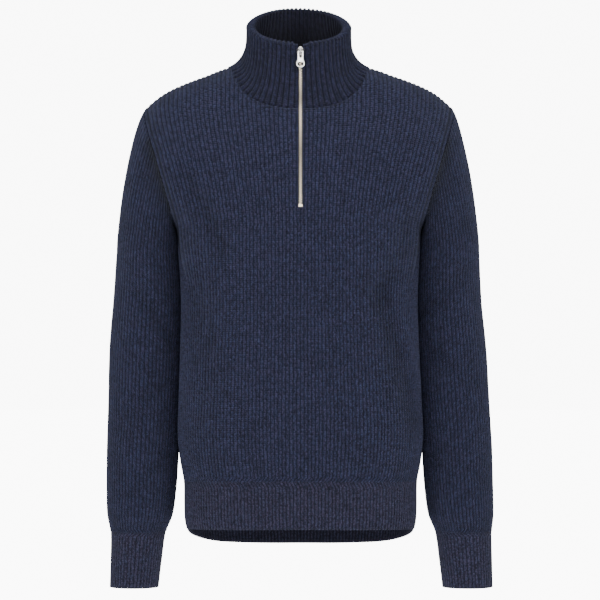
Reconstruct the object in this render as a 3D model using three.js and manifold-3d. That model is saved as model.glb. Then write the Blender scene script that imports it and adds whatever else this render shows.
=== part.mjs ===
// Quarter zip sweater in rib knit, hollow and open at the neck, hem and cuffs.
// Millimetres, +Z up, the front faces -Y. The origin is midway between the high shoulder points.
import * as THREE from 'three';
import { mergeVertices } from 'three/addons/utils/BufferGeometryUtils.js';
import Module from 'manifold-3d';

const wasm = await Module();
wasm.setup();

// Finishes
const KNIT = new THREE.MeshStandardMaterial({ color: 0x252a3a, roughness: 0.93, metalness: 0 });
const TAPE = new THREE.MeshStandardMaterial({ color: 0x1c202c, roughness: 0.85, metalness: 0 });
const METAL = new THREE.MeshStandardMaterial({ color: 0xa39684, roughness: 0.32, metalness: 1 });

// Cloth
const WALL = 2;
const RIB = 1.4;
const CUFF_RIB = 1.1;
const COLLAR_RIB = 1.6;
const SEAM = 0.3;
const SEAM_INSIDE = 0.8;

// Rib counts, as columns: each rib has a valley column and a peak column
const HALF_COLUMNS = 96;
const ARM_COLUMN = 72;
const NECK_COLUMN = 32;
const SLEEVE_COLUMNS = 128;
const CUFF_COLUMNS = 96;
const COLLAR_COLUMNS = 128;
const PLAIN_STEP = 8;
const EDGE_STEP = 4;

// Heights
const HEM_Z = -664;
const JOIN_Z = -596;
const ARM_Z = -205;
const UNDERARM_DROP = 20;
const BLEND_Z = -330;
const TIP_Z = -61;
const FRONT_LIFT = 7;
const BACK_DROP = 32;
const DROP_EDGE = 0.5;
const SIDE_SEAM_DEPTH = 20;


// Body sections, from the hem up
const BODY = [
  { z: -664, width: 166.5, front: 119, back: 116, power: 2.6 },
  { z: -630, width: 167, front: 121, back: 117, power: 2.6 },
  { z: -596, width: 167.5, front: 123, back: 118, power: 2.6 },
  { z: -570, width: 172, front: 127, back: 121, power: 2.6 },
  { z: -531, width: 176, front: 129, back: 122, power: 2.6 },
  { z: -478, width: 175, front: 127, back: 118, power: 2.6 },
  { z: -406, width: 173, front: 124, back: 110, power: 2.6 },
  { z: -333, width: 172, front: 123, back: 106, power: 2.5 },
  { z: -261, width: 176, front: 124, back: 110, power: 2.5 },
  { z: -225, width: 181, front: 123, back: 114, power: 2.5 },
  { z: -190, width: 214, front: 120, back: 116, power: 2.5 },
  { z: -160, width: 233, front: 116, back: 117, power: 2.5 },
  { z: -123, width: 243, front: 109, back: 116, power: 2.5 },
  { z: -91, width: 240, front: 98, back: 110, power: 2.4 },
  { z: -61, width: 226, front: 85, back: 98, power: 2.3 },
  { z: -43, width: 207, front: 77, back: 90, power: 2.3 },
  { z: -32, width: 190, front: 72, back: 85, power: 2.3 },
  { z: -20, width: 164, front: 66, back: 78, power: 2.3 },
  { z: -10, width: 137, front: 59, back: 71, power: 2.3 },
  { z: 2, width: 104, front: 50, back: 60, power: 2.3 },
  { z: 10, width: 60, front: 44, back: 62, power: 2.3 },
];

// The side on the photo's right is a little narrower: its share of the width
const RIGHT_SIDE = [
  { z: -520, share: 1 },
  { z: -330, share: 0.978 },
  { z: -100, share: 0.978 },
  { z: -43, share: 0.985 },
  { z: -25, share: 0.993 },
  { z: -10, share: 0.98 },
  { z: 2, share: 0.945 },
];

// Half width across the chest at the armhole seams
const ARMHOLE = [
  { z: -225, x: 181 },
  { z: -203, x: 186 },
  { z: -160, x: 198 },
  { z: -123, x: 209 },
  { z: -91, x: 219 },
  { z: -61, x: 226 },
];

// Neckline height along its wales, from the centre out to the shoulder
const FRONT_NECK = [
  { part: 0, z: -61 },
  { part: 0.25, z: -60 },
  { part: 0.5, z: -55 },
  { part: 0.7, z: -45 },
  { part: 0.85, z: -30 },
  { part: 0.94, z: -13 },
  { part: 0.97, z: -6 },
  { part: 1, z: 2 },
];
const BACK_NECK = [
  { part: 0, z: 10 },
  { part: 0.25, z: 9.2 },
  { part: 0.5, z: 6.5 },
  { part: 0.75, z: 4 },
  { part: 1, z: 2 },
];

// Soft folds in the body: a line in the front view, how wide, how deep
const FOLDS = [
  { face: 'front', x0: 112, z0: -319, x1: 162, z1: -508, wide: 15, deep: -3.2 },
  { face: 'front', x0: 136, z0: -330, x1: 171, z1: -470, wide: 12, deep: 2 },
  { face: 'front', x0: -160, z0: -160, x1: -109, z1: -261, wide: 14, deep: -2.4 },
  { face: 'front', x0: -148, z0: -330, x1: -128, z1: -445, wide: 22, deep: -1.8 },
  { face: 'back', x0: -70, z0: -300, x1: 70, z1: -330, wide: 20, deep: -2.5 },
];

// Row fractions up the panels
const LOWER_ROWS = [0, 0.14, 0.4, 0.72, 1];
const UPPER_ROWS = [0, 0.35, 0.68, 0.9, 1];

// Sleeve tubes from the cuff up: outer edge of each sleeve, inner edge, middle and half depth
const SLEEVE = [
  { z: -749, outerLeft: 275.5, outerRight: 277.7, inner: 206.6, y: 0, depth: 33 },
  { z: -710, outerLeft: 274.5, outerRight: 277, inner: 202, y: 2, depth: 35 },
  { z: -668, outerLeft: 274.5, outerRight: 276.5, inner: 196, y: 5, depth: 39 },
  { z: -645, outerLeft: 279, outerRight: 279, inner: 187, y: 7, depth: 49 },
  { z: -610, outerLeft: 280.6, outerRight: 279, inner: 182, y: 12, depth: 53 },
  { z: -550, outerLeft: 280.6, outerRight: 277.7, inner: 179.5, y: 20, depth: 54 },
  { z: -478, outerLeft: 279, outerRight: 274, inner: 177.5, y: 28, depth: 54 },
  { z: -406, outerLeft: 277.7, outerRight: 270, inner: 175.5, y: 32, depth: 57 },
  { z: -333, outerLeft: 272, outerRight: 263, inner: 175, y: 30, depth: 61 },
  { z: -264, outerLeft: 266, outerRight: 259, inner: 187, y: 20, depth: 66 },
];
const SLEEVE_TOP_Z = -264;
const SLEEVE_RINGS = [-400, -600, -668];
const SLEEVE_CAP_PARTS = [0, 0.12, 0.36, 0.68, 1];
const CUFF_RINGS = [-668.3, -749];
const TUBE_POWER = 2.15;
const CAP_START_PULL = 0.45;
const CAP_END_PULL = 0.8;
const UNDERARM_PULL = 36;
const UNDERARM_LEAN = new THREE.Vector3(0.6, 0, 0.8);
const LEAN_HEIGHT = 10;
const CROWN = { fromZ: -150, toZ: -75, share: 0.85, xLeft: 0.6, xRight: 0.4, z: -0.8 };

// Collar: its top edge loop, lower in front, and its doubled thickness
const COLLAR_TOP = { x: -5, width: 74, front: -76, back: 74, frontZ: 27, backZ: 90 };
const COLLAR_PARTS = [0, 0.18, 0.45, 0.75, 1];
const COLLAR_WALL = [2.6, 3.8, 5.4, 7, 7.6];
const COLLAR_CAP = 3.2;
const COLLAR_PULL = { low: 75, high: 105 };
const NECK_CORNERS = 3;
const NECK_RISE = 60;

// Zip: distances are from the middle of the chain, depths inward from the cloth's face
const SLOT = { half: 3.6, bottomZ: -203, topZ: 110, farY: -160, nearY: -20 };
const PLAIN_STRIP = { from: 8, to: 13 };
const TAPE_PIECE = { inner: 1.5, outer: 14, collarOuter: 3.3, front: 2.3, back: 2.9, tail: 9,
  belowNeck: 2.5, shortOfTop: 1 };
const CHAIN = { inner: 0.15, outer: 2.9, front: -0.2, back: 2 };
const ROW_GAP = 1;
const STOP = { half: 3, height: 4.4, front: -0.9, back: 1.9 };
const SLIDER = { z: 20, frontHalf: 5, backHalf: 3.2, below: 8, above: 7.4, front: -2.1,
  frontBack: -0.5 };
const SLIDER_BACK = { front: 3.2, back: 4.4 };
const POST = { half: 1.2, low: 4.2, high: 6.6, bite: 0.4 };
const BRIDGE = { half: 1, inner: 3.4, outer: 5.6, under: -5, top: -6.2 };
const PULL = { front: -4.2, back: -2.8, top: 0.7, half: 4.2, hole: 1.65, windowEnd: -8.2, neckHalf: 4,
  neckAt: -9, ringAt: -17.4, ringRadius: 6.1, ringHole: 2.7, ringStretch: 1.45, sides: 16, through: 1 };

const lerp = THREE.MathUtils.lerp;
const clamp = THREE.MathUtils.clamp;
const smooth = (low, high, value) => THREE.MathUtils.smoothstep(value, low, high);

// Smooth reading of one column in a table whose key rises
function read(table, key, name, at) {
  const last = table.length - 1;
  const value = clamp(at, table[0][key], table[last][key]);
  let i = 0;
  while (i < last - 1 && table[i + 1][key] < value) i += 1;
  const slope = (k) => {
    const low = Math.max(k - 1, 0);
    const high = Math.min(k + 1, last);
    return (table[high][name] - table[low][name]) / (table[high][key] - table[low][key]);
  };
  const span = table[i + 1][key] - table[i][key];
  const t = (value - table[i][key]) / span;
  const t2 = t * t;
  const t3 = t2 * t;
  return (2 * t3 - 3 * t2 + 1) * table[i][name] + (t3 - 2 * t2 + t) * span * slope(i)
    + (3 * t2 - 2 * t3) * table[i + 1][name] + (t3 - t2) * span * slope(i + 1);
}

// One body section with the running length from the centre out to the side
const STEPS = 64;
const sections = new Map();
function section(face, z) {
  const id = `${face}${z.toFixed(3)}`;
  if (!sections.has(id)) {
    const width = read(BODY, 'z', 'width', z);
    const depth = read(BODY, 'z', face, z);
    const power = read(BODY, 'z', 'power', z);
    const points = [];
    const lengths = [0];
    for (let i = 0; i <= STEPS; i += 1) {
      const angle = (i / STEPS) * Math.PI / 2;
      const x = width * Math.sin(angle) ** (2 / power);
      const y = depth * Math.max(Math.cos(angle), 0) ** (2 / power);
      points.push([x, i === STEPS ? 0 : y]);
      if (i) lengths.push(lengths[i - 1] + Math.hypot(x - points[i - 1][0], y - points[i - 1][1]));
    }
    sections.set(id, { width, depth, power, points, lengths, total: lengths[STEPS] });
  }
  return sections.get(id);
}

function along(cut, length) {
  const at = clamp(length, 0, cut.total);
  let i = 0;
  while (i < STEPS - 1 && cut.lengths[i + 1] < at) i += 1;
  const t = (at - cut.lengths[i]) / (cut.lengths[i + 1] - cut.lengths[i]);
  const [from, to] = [cut.points[i], cut.points[i + 1]];
  return [lerp(from[0], to[0], t), lerp(from[1], to[1], t)];
}

function lengthAt(cut, x) {
  let i = 0;
  while (i < STEPS - 1 && cut.points[i + 1][0] < x) i += 1;
  const t = clamp((x - cut.points[i][0]) / (cut.points[i + 1][0] - cut.points[i][0]), 0, 1);
  return lerp(cut.lengths[i], cut.lengths[i + 1], t);
}

const ARM = ARM_COLUMN / HALF_COLUMNS;
const NECK = NECK_COLUMN / HALF_COLUMNS;

// Running length of wale u (0 centre, 1 side seam) at height z
function waleLength(face, u, z) {
  const cut = section(face, z);
  const blend = smooth(BLEND_Z, ARM_Z, z);
  const upper = (part) => lengthAt(cut, Math.min(part * read(ARMHOLE, 'z', 'x', z), cut.width));
  const mixed = (wale) => lerp(wale * cut.total, upper(wale / ARM), blend);
  if (u <= ARM) return mixed(u);
  return lerp(mixed(ARM), cut.total, (u - ARM) / (1 - ARM));
}

// The hem dips at the back and lifts at the front
function dip(face, u, z) {
  const fade = 1 - smooth(HEM_Z, ARM_Z, z);
  const drop = face === 'back' ? BACK_DROP * smooth(0, DROP_EDGE, 1 - u) : -FRONT_LIFT * (1 - u * u);
  return drop * fade;
}

function foldDepth(face, x, z) {
  let depth = 0;
  for (const fold of FOLDS) {
    if (fold.face === face) {
      const run = new THREE.Vector2(fold.x1 - fold.x0, fold.z1 - fold.z0);
      const to = new THREE.Vector2(x - fold.x0, z - fold.z0);
      const t = clamp(to.dot(run) / run.lengthSq(), 0, 1);
      const away = to.sub(run.multiplyScalar(t)).length() / fold.wide;
      depth += fold.deep * Math.exp(-away * away);
    }
  }
  return depth;
}

// Point of the body's face: side -1 or 1 picks the half
function bodyPoint(face, side, length, z, u) {
  const [across, y] = along(section(face, z), length);
  const ease = side < 0 ? 1 : read(RIGHT_SIDE, 'z', 'share', z);
  const x = side * across * ease;
  const turn = face === 'front' ? -1 : 1;
  const fold = smooth(0, SIDE_SEAM_DEPTH, y) * foldDepth(face, x, z);
  return new THREE.Vector3(x, turn * (y + fold), z - dip(face, u, z));
}

// Point and outward direction of a wale at a height
const NUDGE = 1;
const AT_SEAM = 0.1;
function bodyFrame(face, side, u, z) {
  const length = waleLength(face, u, z);
  const point = bodyPoint(face, side, length, z, u);
  const cut = section(face, z);
  const back = length > NUDGE ? -NUDGE : NUDGE;
  const across = bodyPoint(face, side, length + back, z, u).sub(point).multiplyScalar(back * side);
  const below = bodyPoint(face, side, Math.min(length, section(face, z - NUDGE).total), z - NUDGE, u);
  const up = point.clone().sub(below);
  const normal = across.cross(up).normalize();
  if (face === 'back') normal.negate();
  if (cut.total - length < AT_SEAM) normal.setY(0).normalize();
  if (u === 0) normal.setX(0).normalize();
  return { point, normal };
}

// Height of the top edge at a wale
const HALVINGS = 40;
function topZ(face, u) {
  if (u <= NECK) return read(face === 'front' ? FRONT_NECK : BACK_NECK, 'part', 'z', u / NECK);
  const reach = (u / ARM) * read(ARMHOLE, 'z', 'x', TIP_Z);
  let low = TIP_Z;
  let high = BODY[BODY.length - 2].z;
  for (let i = 0; i < HALVINGS; i += 1) {
    const middle = (low + high) / 2;
    if (read(BODY, 'z', 'width', middle) > reach) low = middle;
    else high = middle;
  }
  return (low + high) / 2;
}

function underarmZ(u) {
  const part = clamp((u - ARM) / (1 - ARM), 0, 1);
  return ARM_Z - UNDERARM_DROP * (1 - (1 - part) ** 2);
}

// A closed skin under construction
class Skin {
  constructor() {
    this.points = [];
    this.faces = [];
  }

  add(point) {
    this.points.push(point.x, point.y, point.z);
    return this.points.length / 3 - 1;
  }

  // Bands between rows of point numbers, which may differ in count
  strip(low, high, flip = false) {
    let i = 0;
    let j = 0;
    const push = (a, b, c) => this.faces.push(a, flip ? c : b, flip ? b : c);
    while (i < low.length - 1 || j < high.length - 1) {
      const stepLow = i < low.length - 1 ? (i + 0.5) / (low.length - 1) : Infinity;
      const stepHigh = j < high.length - 1 ? (j + 0.5) / (high.length - 1) : Infinity;
      if (stepLow <= stepHigh) {
        push(low[i], low[i + 1], high[j]);
        i += 1;
      } else {
        push(low[i], high[j + 1], high[j]);
        j += 1;
      }
    }
  }

  grid(rows, flip = false) {
    for (let i = 1; i < rows.length; i += 1) this.strip(rows[i - 1], rows[i], flip);
  }

  // Six times the volume; below nothing when the faces look inward
  volume() {
    const corner = (i) => new THREE.Vector3().fromArray(this.points, 3 * this.faces[i]);
    let sum = 0;
    for (let i = 0; i < this.faces.length; i += 3) {
      sum += corner(i).dot(corner(i + 1).cross(corner(i + 2)));
    }
    return sum;
  }

  solid() {
    if (this.volume() < 0) this.faces.reverse();
    const mesh = new wasm.Mesh({
      numProp: 3,
      vertProperties: Float32Array.from(this.points),
      triVerts: Uint32Array.from(this.faces),
    });
    mesh.merge();
    return new wasm.Manifold(mesh);
  }
}

const WELD = 1e-4;
function solidOf(geometry) {
  const bare = new THREE.BufferGeometry();
  bare.setAttribute('position', geometry.getAttribute('position').clone());
  if (geometry.index) bare.setIndex(geometry.index.clone());
  const merged = mergeVertices(bare, WELD);
  return new wasm.Manifold(new wasm.Mesh({
    numProp: 3,
    vertProperties: Float32Array.from(merged.getAttribute('position').array),
    triVerts: Uint32Array.from(merged.index.array),
  }));
}

const group = new THREE.Group();
group.name = 'quarter_zip_sweater';

function place(name, solid, material) {
  const { vertProperties, triVerts } = solid.getMesh();
  const geometry = new THREE.BufferGeometry();
  geometry.setAttribute('position', new THREE.BufferAttribute(Float32Array.from(vertProperties), 3));
  geometry.setIndex(new THREE.BufferAttribute(Uint32Array.from(triVerts), 1));
  geometry.computeVertexNormals();
  const mesh = new THREE.Mesh(geometry, material);
  mesh.name = name;
  group.add(mesh);
}

// Ribs run out beside the zip
function zipFade(x, z) {
  if (z < SLOT.bottomZ) return 1;
  return smooth(PLAIN_STRIP.from, PLAIN_STRIP.to, Math.abs(x));
}

const slotBlock = new THREE.BoxGeometry(SLOT.half * 2, SLOT.nearY - SLOT.farY, SLOT.topZ - SLOT.bottomZ)
  .translate(0, (SLOT.nearY + SLOT.farY) / 2, (SLOT.topZ + SLOT.bottomZ) / 2);
const slotCut = solidOf(slotBlock);

// Rows of a panel as point numbers; raise is the rib height, inset moves the row inward
function panelRow(skin, face, heightOf, columns, raise, inset) {
  const turn = face === 'front' ? -1 : 1;
  return columns.map((column) => {
    const u = Math.abs(column) / HALF_COLUMNS;
    const side = column < 0 ? -1 : 1;
    const { point, normal } = bodyFrame(face, side, u, heightOf(u));
    const rib = column % 2 ? raise * (face === 'front' ? zipFade(point.x, point.z) : 1) : 0;
    point.addScaledVector(normal, rib - inset);
    if (point.y * turn < SEAM / 2) point.y = turn * SEAM / 2;
    return skin.add(point);
  });
}

function columnsTo(edge, step) {
  const list = [];
  for (let column = -edge; column <= edge; column += step) list.push(column);
  return list;
}

// Front or back panel: a lower grid up to the underarms, an upper grid between the armholes
function panel(face) {
  const skin = new Skin();
  const build = (step, edgeStep, raise, inset) => {
    const stepAt = (part) => (part === 0 || part === 1 ? edgeStep : step);
    const lower = LOWER_ROWS.map((part) => panelRow(skin, face, (u) => lerp(JOIN_Z, underarmZ(u), part),
      columnsTo(HALF_COLUMNS, stepAt(part)), raise, inset));
    const shared = lower[lower.length - 1];
    const cut = (HALF_COLUMNS - ARM_COLUMN) / edgeStep;
    const upper = UPPER_ROWS.slice(1).map((part) => panelRow(skin, face,
      (u) => lerp(ARM_Z, topZ(face, u), part), columnsTo(ARM_COLUMN, stepAt(part)), raise, inset));
    return { lower, upper: [shared.slice(cut, shared.length - cut), ...upper], shared, cut };
  };
  const outer = build(1, 1, RIB, 0);
  const inner = build(PLAIN_STEP, EDGE_STEP, 0, WALL);
  skin.grid(outer.lower);
  skin.grid(outer.upper);
  skin.grid(inner.lower, true);
  skin.grid(inner.upper, true);
  const first = (rows) => rows.map((row) => row[0]);
  const last = (rows) => rows.map((row) => row[row.length - 1]);
  skin.strip(outer.lower[0], inner.lower[0], true);
  skin.strip(outer.upper[outer.upper.length - 1], inner.upper[inner.upper.length - 1]);
  skin.strip(first(outer.lower), first(inner.lower));
  skin.strip(last(outer.lower), last(inner.lower), true);
  skin.strip(first(outer.upper), first(inner.upper));
  skin.strip(last(outer.upper), last(inner.upper), true);
  skin.strip(outer.shared.slice(0, outer.cut + 1), inner.shared.slice(0, inner.cut + 1));
  skin.strip(outer.shared.slice(-outer.cut - 1), inner.shared.slice(-inner.cut - 1));
  return skin.solid();
}

function hemBand(face) {
  const skin = new Skin();
  const heights = [HEM_Z, JOIN_Z - SEAM];
  const build = (step, raise, inset) => heights.map((z) => panelRow(skin, face, () => z,
    columnsTo(HALF_COLUMNS, step), raise, inset));
  const outer = build(1, RIB, 0);
  const inner = build(EDGE_STEP, 0, WALL);
  skin.grid(outer);
  skin.grid(inner, true);
  skin.strip(outer[0], inner[0], true);
  skin.strip(outer[1], inner[1]);
  skin.strip(outer.map((row) => row[0]), inner.map((row) => row[0]));
  skin.strip(outer.map((row) => row.at(-1)), inner.map((row) => row.at(-1)), true);
  return skin.solid();
}

place('front_panel', panel('front').subtract(slotCut), KNIT);
place('back_panel', panel('back'), KNIT);
place('hem_band_front', hemBand('front'), KNIT);
place('hem_band_back', hemBand('back'), KNIT);

// An edge loop of the body: points, outward directions and ways off the edge
class Loop {
  constructor() {
    this.stations = [];
  }

  push(frame, corner = false) {
    this.stations.push({ ...frame, corner });
  }

  // Ways off the edge, square to it and in the cloth
  finish(towards) {
    const count = this.stations.length;
    this.starts = [0];
    this.stations.forEach((station, i) => {
      const after = this.stations[(i + 1) % count].point;
      const before = this.stations[(i + count - 1) % count].point;
      const tangent = after.clone().sub(before).normalize();
      station.away = tangent.cross(station.normal).normalize();
      if (station.away.dot(towards(station)) < 0) station.away.negate();
      this.starts.push(this.starts[i] + after.distanceTo(station.point));
    });
    this.total = this.starts[count];
  }

  at(part) {
    const count = this.stations.length;
    const wanted = ((part % 1) + 1) % 1 * this.total;
    let i = 0;
    while (i < count - 1 && this.starts[i + 1] <= wanted) i += 1;
    const a = this.stations[i];
    const b = this.stations[(i + 1) % count];
    const t = (wanted - this.starts[i]) / (this.starts[i + 1] - this.starts[i]);
    return {
      point: a.point.clone().lerp(b.point, t),
      normal: a.normal.clone().lerp(b.normal, t).normalize(),
      away: a.away.clone().lerp(b.away, t).normalize(),
    };
  }

  // Even columns, the nearest moved onto each corner so that the seam follows the panel's edge
  columns(count, from, to) {
    const parts = [];
    for (let i = 0; i < count; i += 1) parts.push(lerp(from, to, i / count));
    this.stations.forEach((station, i) => {
      if (station.corner) {
        const corner = this.starts[i] / this.total;
        parts[Math.round((corner - from) / (to - from) * count) % count] = corner;
      }
    });
    return parts;
  }
}

function hermite(a, goA, b, goB, t) {
  const t2 = t * t;
  const t3 = t2 * t;
  return a.clone().multiplyScalar(2 * t3 - 3 * t2 + 1)
    .addScaledVector(goA, t3 - 2 * t2 + t)
    .addScaledVector(b, 3 * t2 - 2 * t3)
    .addScaledVector(goB, t3 - t2);
}

// Directions square to rings of points, from each point's neighbours
function ringNormals(rings) {
  return rings.map((ring, r) => ring.map((point, k) => {
    const count = ring.length;
    const across = ring[(k + 1) % count].clone().sub(ring[(k + count - 1) % count]);
    const low = rings[Math.max(r - 1, 0)][k];
    const high = rings[Math.min(r + 1, rings.length - 1)][k];
    return across.cross(high.clone().sub(low)).normalize();
  }));
}

// Closed rings made into a wall: zigzag outside, plain inside. A seam's ways keep the inner edge
// clear of the panel's, and there the inside has every column
function wall(rings, normals, thickness, rib, fades, ways) {
  const skin = new Skin();
  const close = (row) => [...row, row[0]];
  const outer = rings.map((ring, r) => close(ring.map((point, k) => {
    const raise = k % 2 ? rib * fades(point) : 0;
    return skin.add(point.clone().addScaledVector(normals[r][k], raise));
  })));
  const inner = rings.map((ring, r) => {
    const seam = ways && r === 0;
    const edge = r <= (ways ? 1 : 0) || r === rings.length - 1 ? EDGE_STEP : PLAIN_STEP;
    const row = [];
    for (let k = 0; k < ring.length; k += seam ? 1 : edge) {
      const point = ring[k].clone().addScaledVector(normals[r][k], -thickness(r));
      if (seam) point.addScaledVector(ways[k], SEAM_INSIDE);
      row.push(skin.add(point));
    }
    return close(row);
  });
  return { skin, outer, inner };
}

// Armhole edge from the underarm up the front to the shoulder tip and down the back
function armhole(side) {
  const loop = new Loop();
  const gather = (face, list) => list.forEach(([u, z, corner]) => {
    const frame = bodyFrame(face, side, u, z);
    loop.push(frame, corner);
  });
  const under = [];
  for (let column = HALF_COLUMNS; column > ARM_COLUMN; column -= 1) {
    under.push([column / HALF_COLUMNS, underarmZ(column / HALF_COLUMNS), false]);
  }
  const edge = UPPER_ROWS.map((part) => [ARM, lerp(ARM_Z, topZ('front', ARM), part), true]);
  gather('front', under);
  gather('front', edge);
  gather('back', edge.slice(0, -1).reverse());
  gather('back', under.slice(1).reverse());
  const upward = (station) => 1 - smooth(underarmZ(1), ARM_Z, station.point.z);
  loop.finish((station) => new THREE.Vector3(side, 0, upward(station)));
  return loop;
}

function tubePoint(side, z, part) {
  const outer = read(SLEEVE, 'z', side < 0 ? 'outerLeft' : 'outerRight', z);
  const inner = read(SLEEVE, 'z', 'inner', z) * (side < 0 ? 1 : read(RIGHT_SIDE, 'z', 'share', z));
  const angle = part * Math.PI * 2;
  const swell = (value) => Math.sign(value) * Math.abs(value) ** (2 / TUBE_POWER);
  const x = (outer + inner) / 2 - (outer - inner) / 2 * swell(Math.cos(angle));
  const y = read(SLEEVE, 'z', 'y', z) - read(SLEEVE, 'z', 'depth', z) * swell(Math.sin(angle));
  return new THREE.Vector3(side * x, y, z);
}

function sleeve(side) {
  const loop = armhole(side);
  const parts = loop.columns(SLEEVE_COLUMNS, 0, 1);
  const down = new THREE.Vector3(0, 0, -1);
  const rings = SLEEVE_CAP_PARTS.map((t) => parts.map((part) => {
    const start = loop.at(part);
    const height = smooth(underarmZ(1), ARM_Z + LEAN_HEIGHT, start.point.z);
    const crown = CROWN.share * smooth(CROWN.fromZ, CROWN.toZ, start.point.z);
    const lean = new THREE.Vector3(UNDERARM_LEAN.x * side, 0, UNDERARM_LEAN.z).lerp(start.away, height)
      .lerp(new THREE.Vector3(side < 0 ? -CROWN.xLeft : CROWN.xRight, 0, CROWN.z), crown).normalize();
    const from = start.point.clone().addScaledVector(start.away, SEAM);
    const end = tubePoint(side, SLEEVE_TOP_Z, part);
    const far = from.distanceTo(end);
    return hermite(from, lean.multiplyScalar(lerp(UNDERARM_PULL, far * CAP_START_PULL, height)), end,
      down.clone().multiplyScalar(far * CAP_END_PULL), t);
  }));
  SLEEVE_RINGS.forEach((z) => rings.push(parts.map((part, k) => tubePoint(side, z, k / SLEEVE_COLUMNS))));
  const normals = ringNormals(rings);
  // The seam ring keeps the panel's own outward directions
  normals[0] = parts.map((part) => loop.at(part).normal);
  if (side > 0) normals.slice(1).forEach((ring) => ring.forEach((normal) => normal.negate()));
  const ways = parts.map((part) => loop.at(part).away);
  const { skin, outer, inner } = wall(rings, normals, () => WALL, RIB, () => 1, ways);
  skin.grid(outer);
  skin.grid(inner, true);
  skin.strip(outer[0], inner[0], true);
  skin.strip(outer.at(-1), inner.at(-1));
  return skin.solid();
}

function cuff(side) {
  const rings = CUFF_RINGS.map((z) => Array.from({ length: CUFF_COLUMNS },
    (_, k) => tubePoint(side, z, k / CUFF_COLUMNS)));
  const normals = ringNormals(rings);
  if (side > 0) normals.forEach((ring) => ring.forEach((normal) => normal.negate()));
  const { skin, outer, inner } = wall(rings, normals, () => WALL, CUFF_RIB, () => 1);
  skin.grid(outer);
  skin.grid(inner, true);
  skin.strip(outer[0], inner[0], true);
  skin.strip(outer[1], inner[1]);
  return skin.solid();
}

place('sleeve_right_of_photo', sleeve(1), KNIT);
place('sleeve_left_of_photo', sleeve(-1), KNIT);
place('cuff_right_of_photo', cuff(1), KNIT);
place('cuff_left_of_photo', cuff(-1), KNIT);

// Neckline from the centre front round by the +X side
function neckline() {
  const loop = new Loop();
  const columns = Array.from({ length: NECK_COLUMN + 1 }, (_, k) => k);
  const gather = (face, side, list) => list.forEach((column) => {
    const u = column / HALF_COLUMNS;
    loop.push(bodyFrame(face, side, u, topZ(face, u)), column >= NECK_COLUMN - NECK_CORNERS);
  });
  gather('front', 1, columns);
  gather('back', 1, columns.slice(0, -1).reverse());
  gather('back', -1, columns.slice(1));
  gather('front', -1, columns.slice(1, -1).reverse());
  loop.finish((station) => new THREE.Vector3(-station.point.x, -station.point.y, NECK_RISE));
  return loop;
}

function collarTop(part) {
  const angle = part * Math.PI * 2;
  const turn = Math.cos(angle);
  const depth = turn > 0 ? -COLLAR_TOP.front : COLLAR_TOP.back;
  const toBack = (1 - turn) / 2;
  return new THREE.Vector3(COLLAR_TOP.x * toBack + COLLAR_TOP.width * Math.sin(angle), -depth * turn,
    lerp(COLLAR_TOP.frontZ, COLLAR_TOP.backZ, toBack));
}

const neck = neckline();
const UP = new THREE.Vector3(0, 0, 1);
function collarPoint(part, t) {
  const start = neck.at(part);
  const from = start.point.clone().addScaledVector(start.away, SEAM);
  return hermite(from, start.away.clone().multiplyScalar(COLLAR_PULL.low), collarTop(part),
    UP.clone().multiplyScalar(COLLAR_PULL.high), t);
}

function collar() {
  const parts = neck.columns(COLLAR_COLUMNS, 0, 1);
  const rings = COLLAR_PARTS.map((t) => parts.map((part) => collarPoint(part, t)));
  const normals = ringNormals(rings);
  normals[0] = parts.map((part) => neck.at(part).normal);
  const ways = parts.map((part) => neck.at(part).away);
  const { skin, outer, inner } = wall(rings, normals, (r) => COLLAR_WALL[r], COLLAR_RIB,
    (point) => (point.y < 0 ? smooth(PLAIN_STRIP.from, PLAIN_STRIP.to, Math.abs(point.x)) : 1), ways);
  const top = rings.length - 1;
  const ridge = [];
  for (let k = 0; k < COLLAR_COLUMNS; k += EDGE_STEP) {
    ridge.push(skin.add(rings[top][k].clone().addScaledVector(normals[top][k], -COLLAR_WALL[top] / 2)
      .addScaledVector(UP, COLLAR_CAP)));
  }
  ridge.push(ridge[0]);
  skin.grid(outer);
  skin.grid(inner, true);
  skin.strip(outer[0], inner[0], true);
  skin.strip(outer[top], ridge);
  skin.strip(ridge, inner[top]);
  return skin.solid().subtract(slotCut);
}

place('collar', collar(), KNIT);

// The zip's line up the centre front, in the same straight runs as the walls
function zipLine() {
  const low = lerp(JOIN_Z, ARM_Z, LOWER_ROWS.at(-2));
  const rows = UPPER_ROWS.map((part) => lerp(ARM_Z, topZ('front', 0), part));
  const line = [low, ...rows].map((z) => bodyFrame('front', 1, 0, z));
  COLLAR_PARTS.slice(1).forEach((t) => line.push({ point: collarPoint(0, t) }));
  line.forEach((station, i) => {
    if (!station.normal) {
      const after = line[Math.min(i + 1, line.length - 1)].point;
      station.normal = new THREE.Vector3(1, 0, 0).cross(after.clone().sub(line[i - 1].point)).normalize();
    }
  });
  return line;
}

const line = zipLine();
function lineAt(z) {
  let i = 0;
  while (i < line.length - 2 && line[i + 1].point.z < z) i += 1;
  const a = line[i];
  const b = line[i + 1];
  const t = (z - a.point.z) / (b.point.z - a.point.z);
  return {
    point: a.point.clone().lerp(b.point, t),
    normal: a.normal.clone().lerp(b.normal, t).normalize(),
    up: b.point.clone().sub(a.point).normalize(),
  };
}

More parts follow.
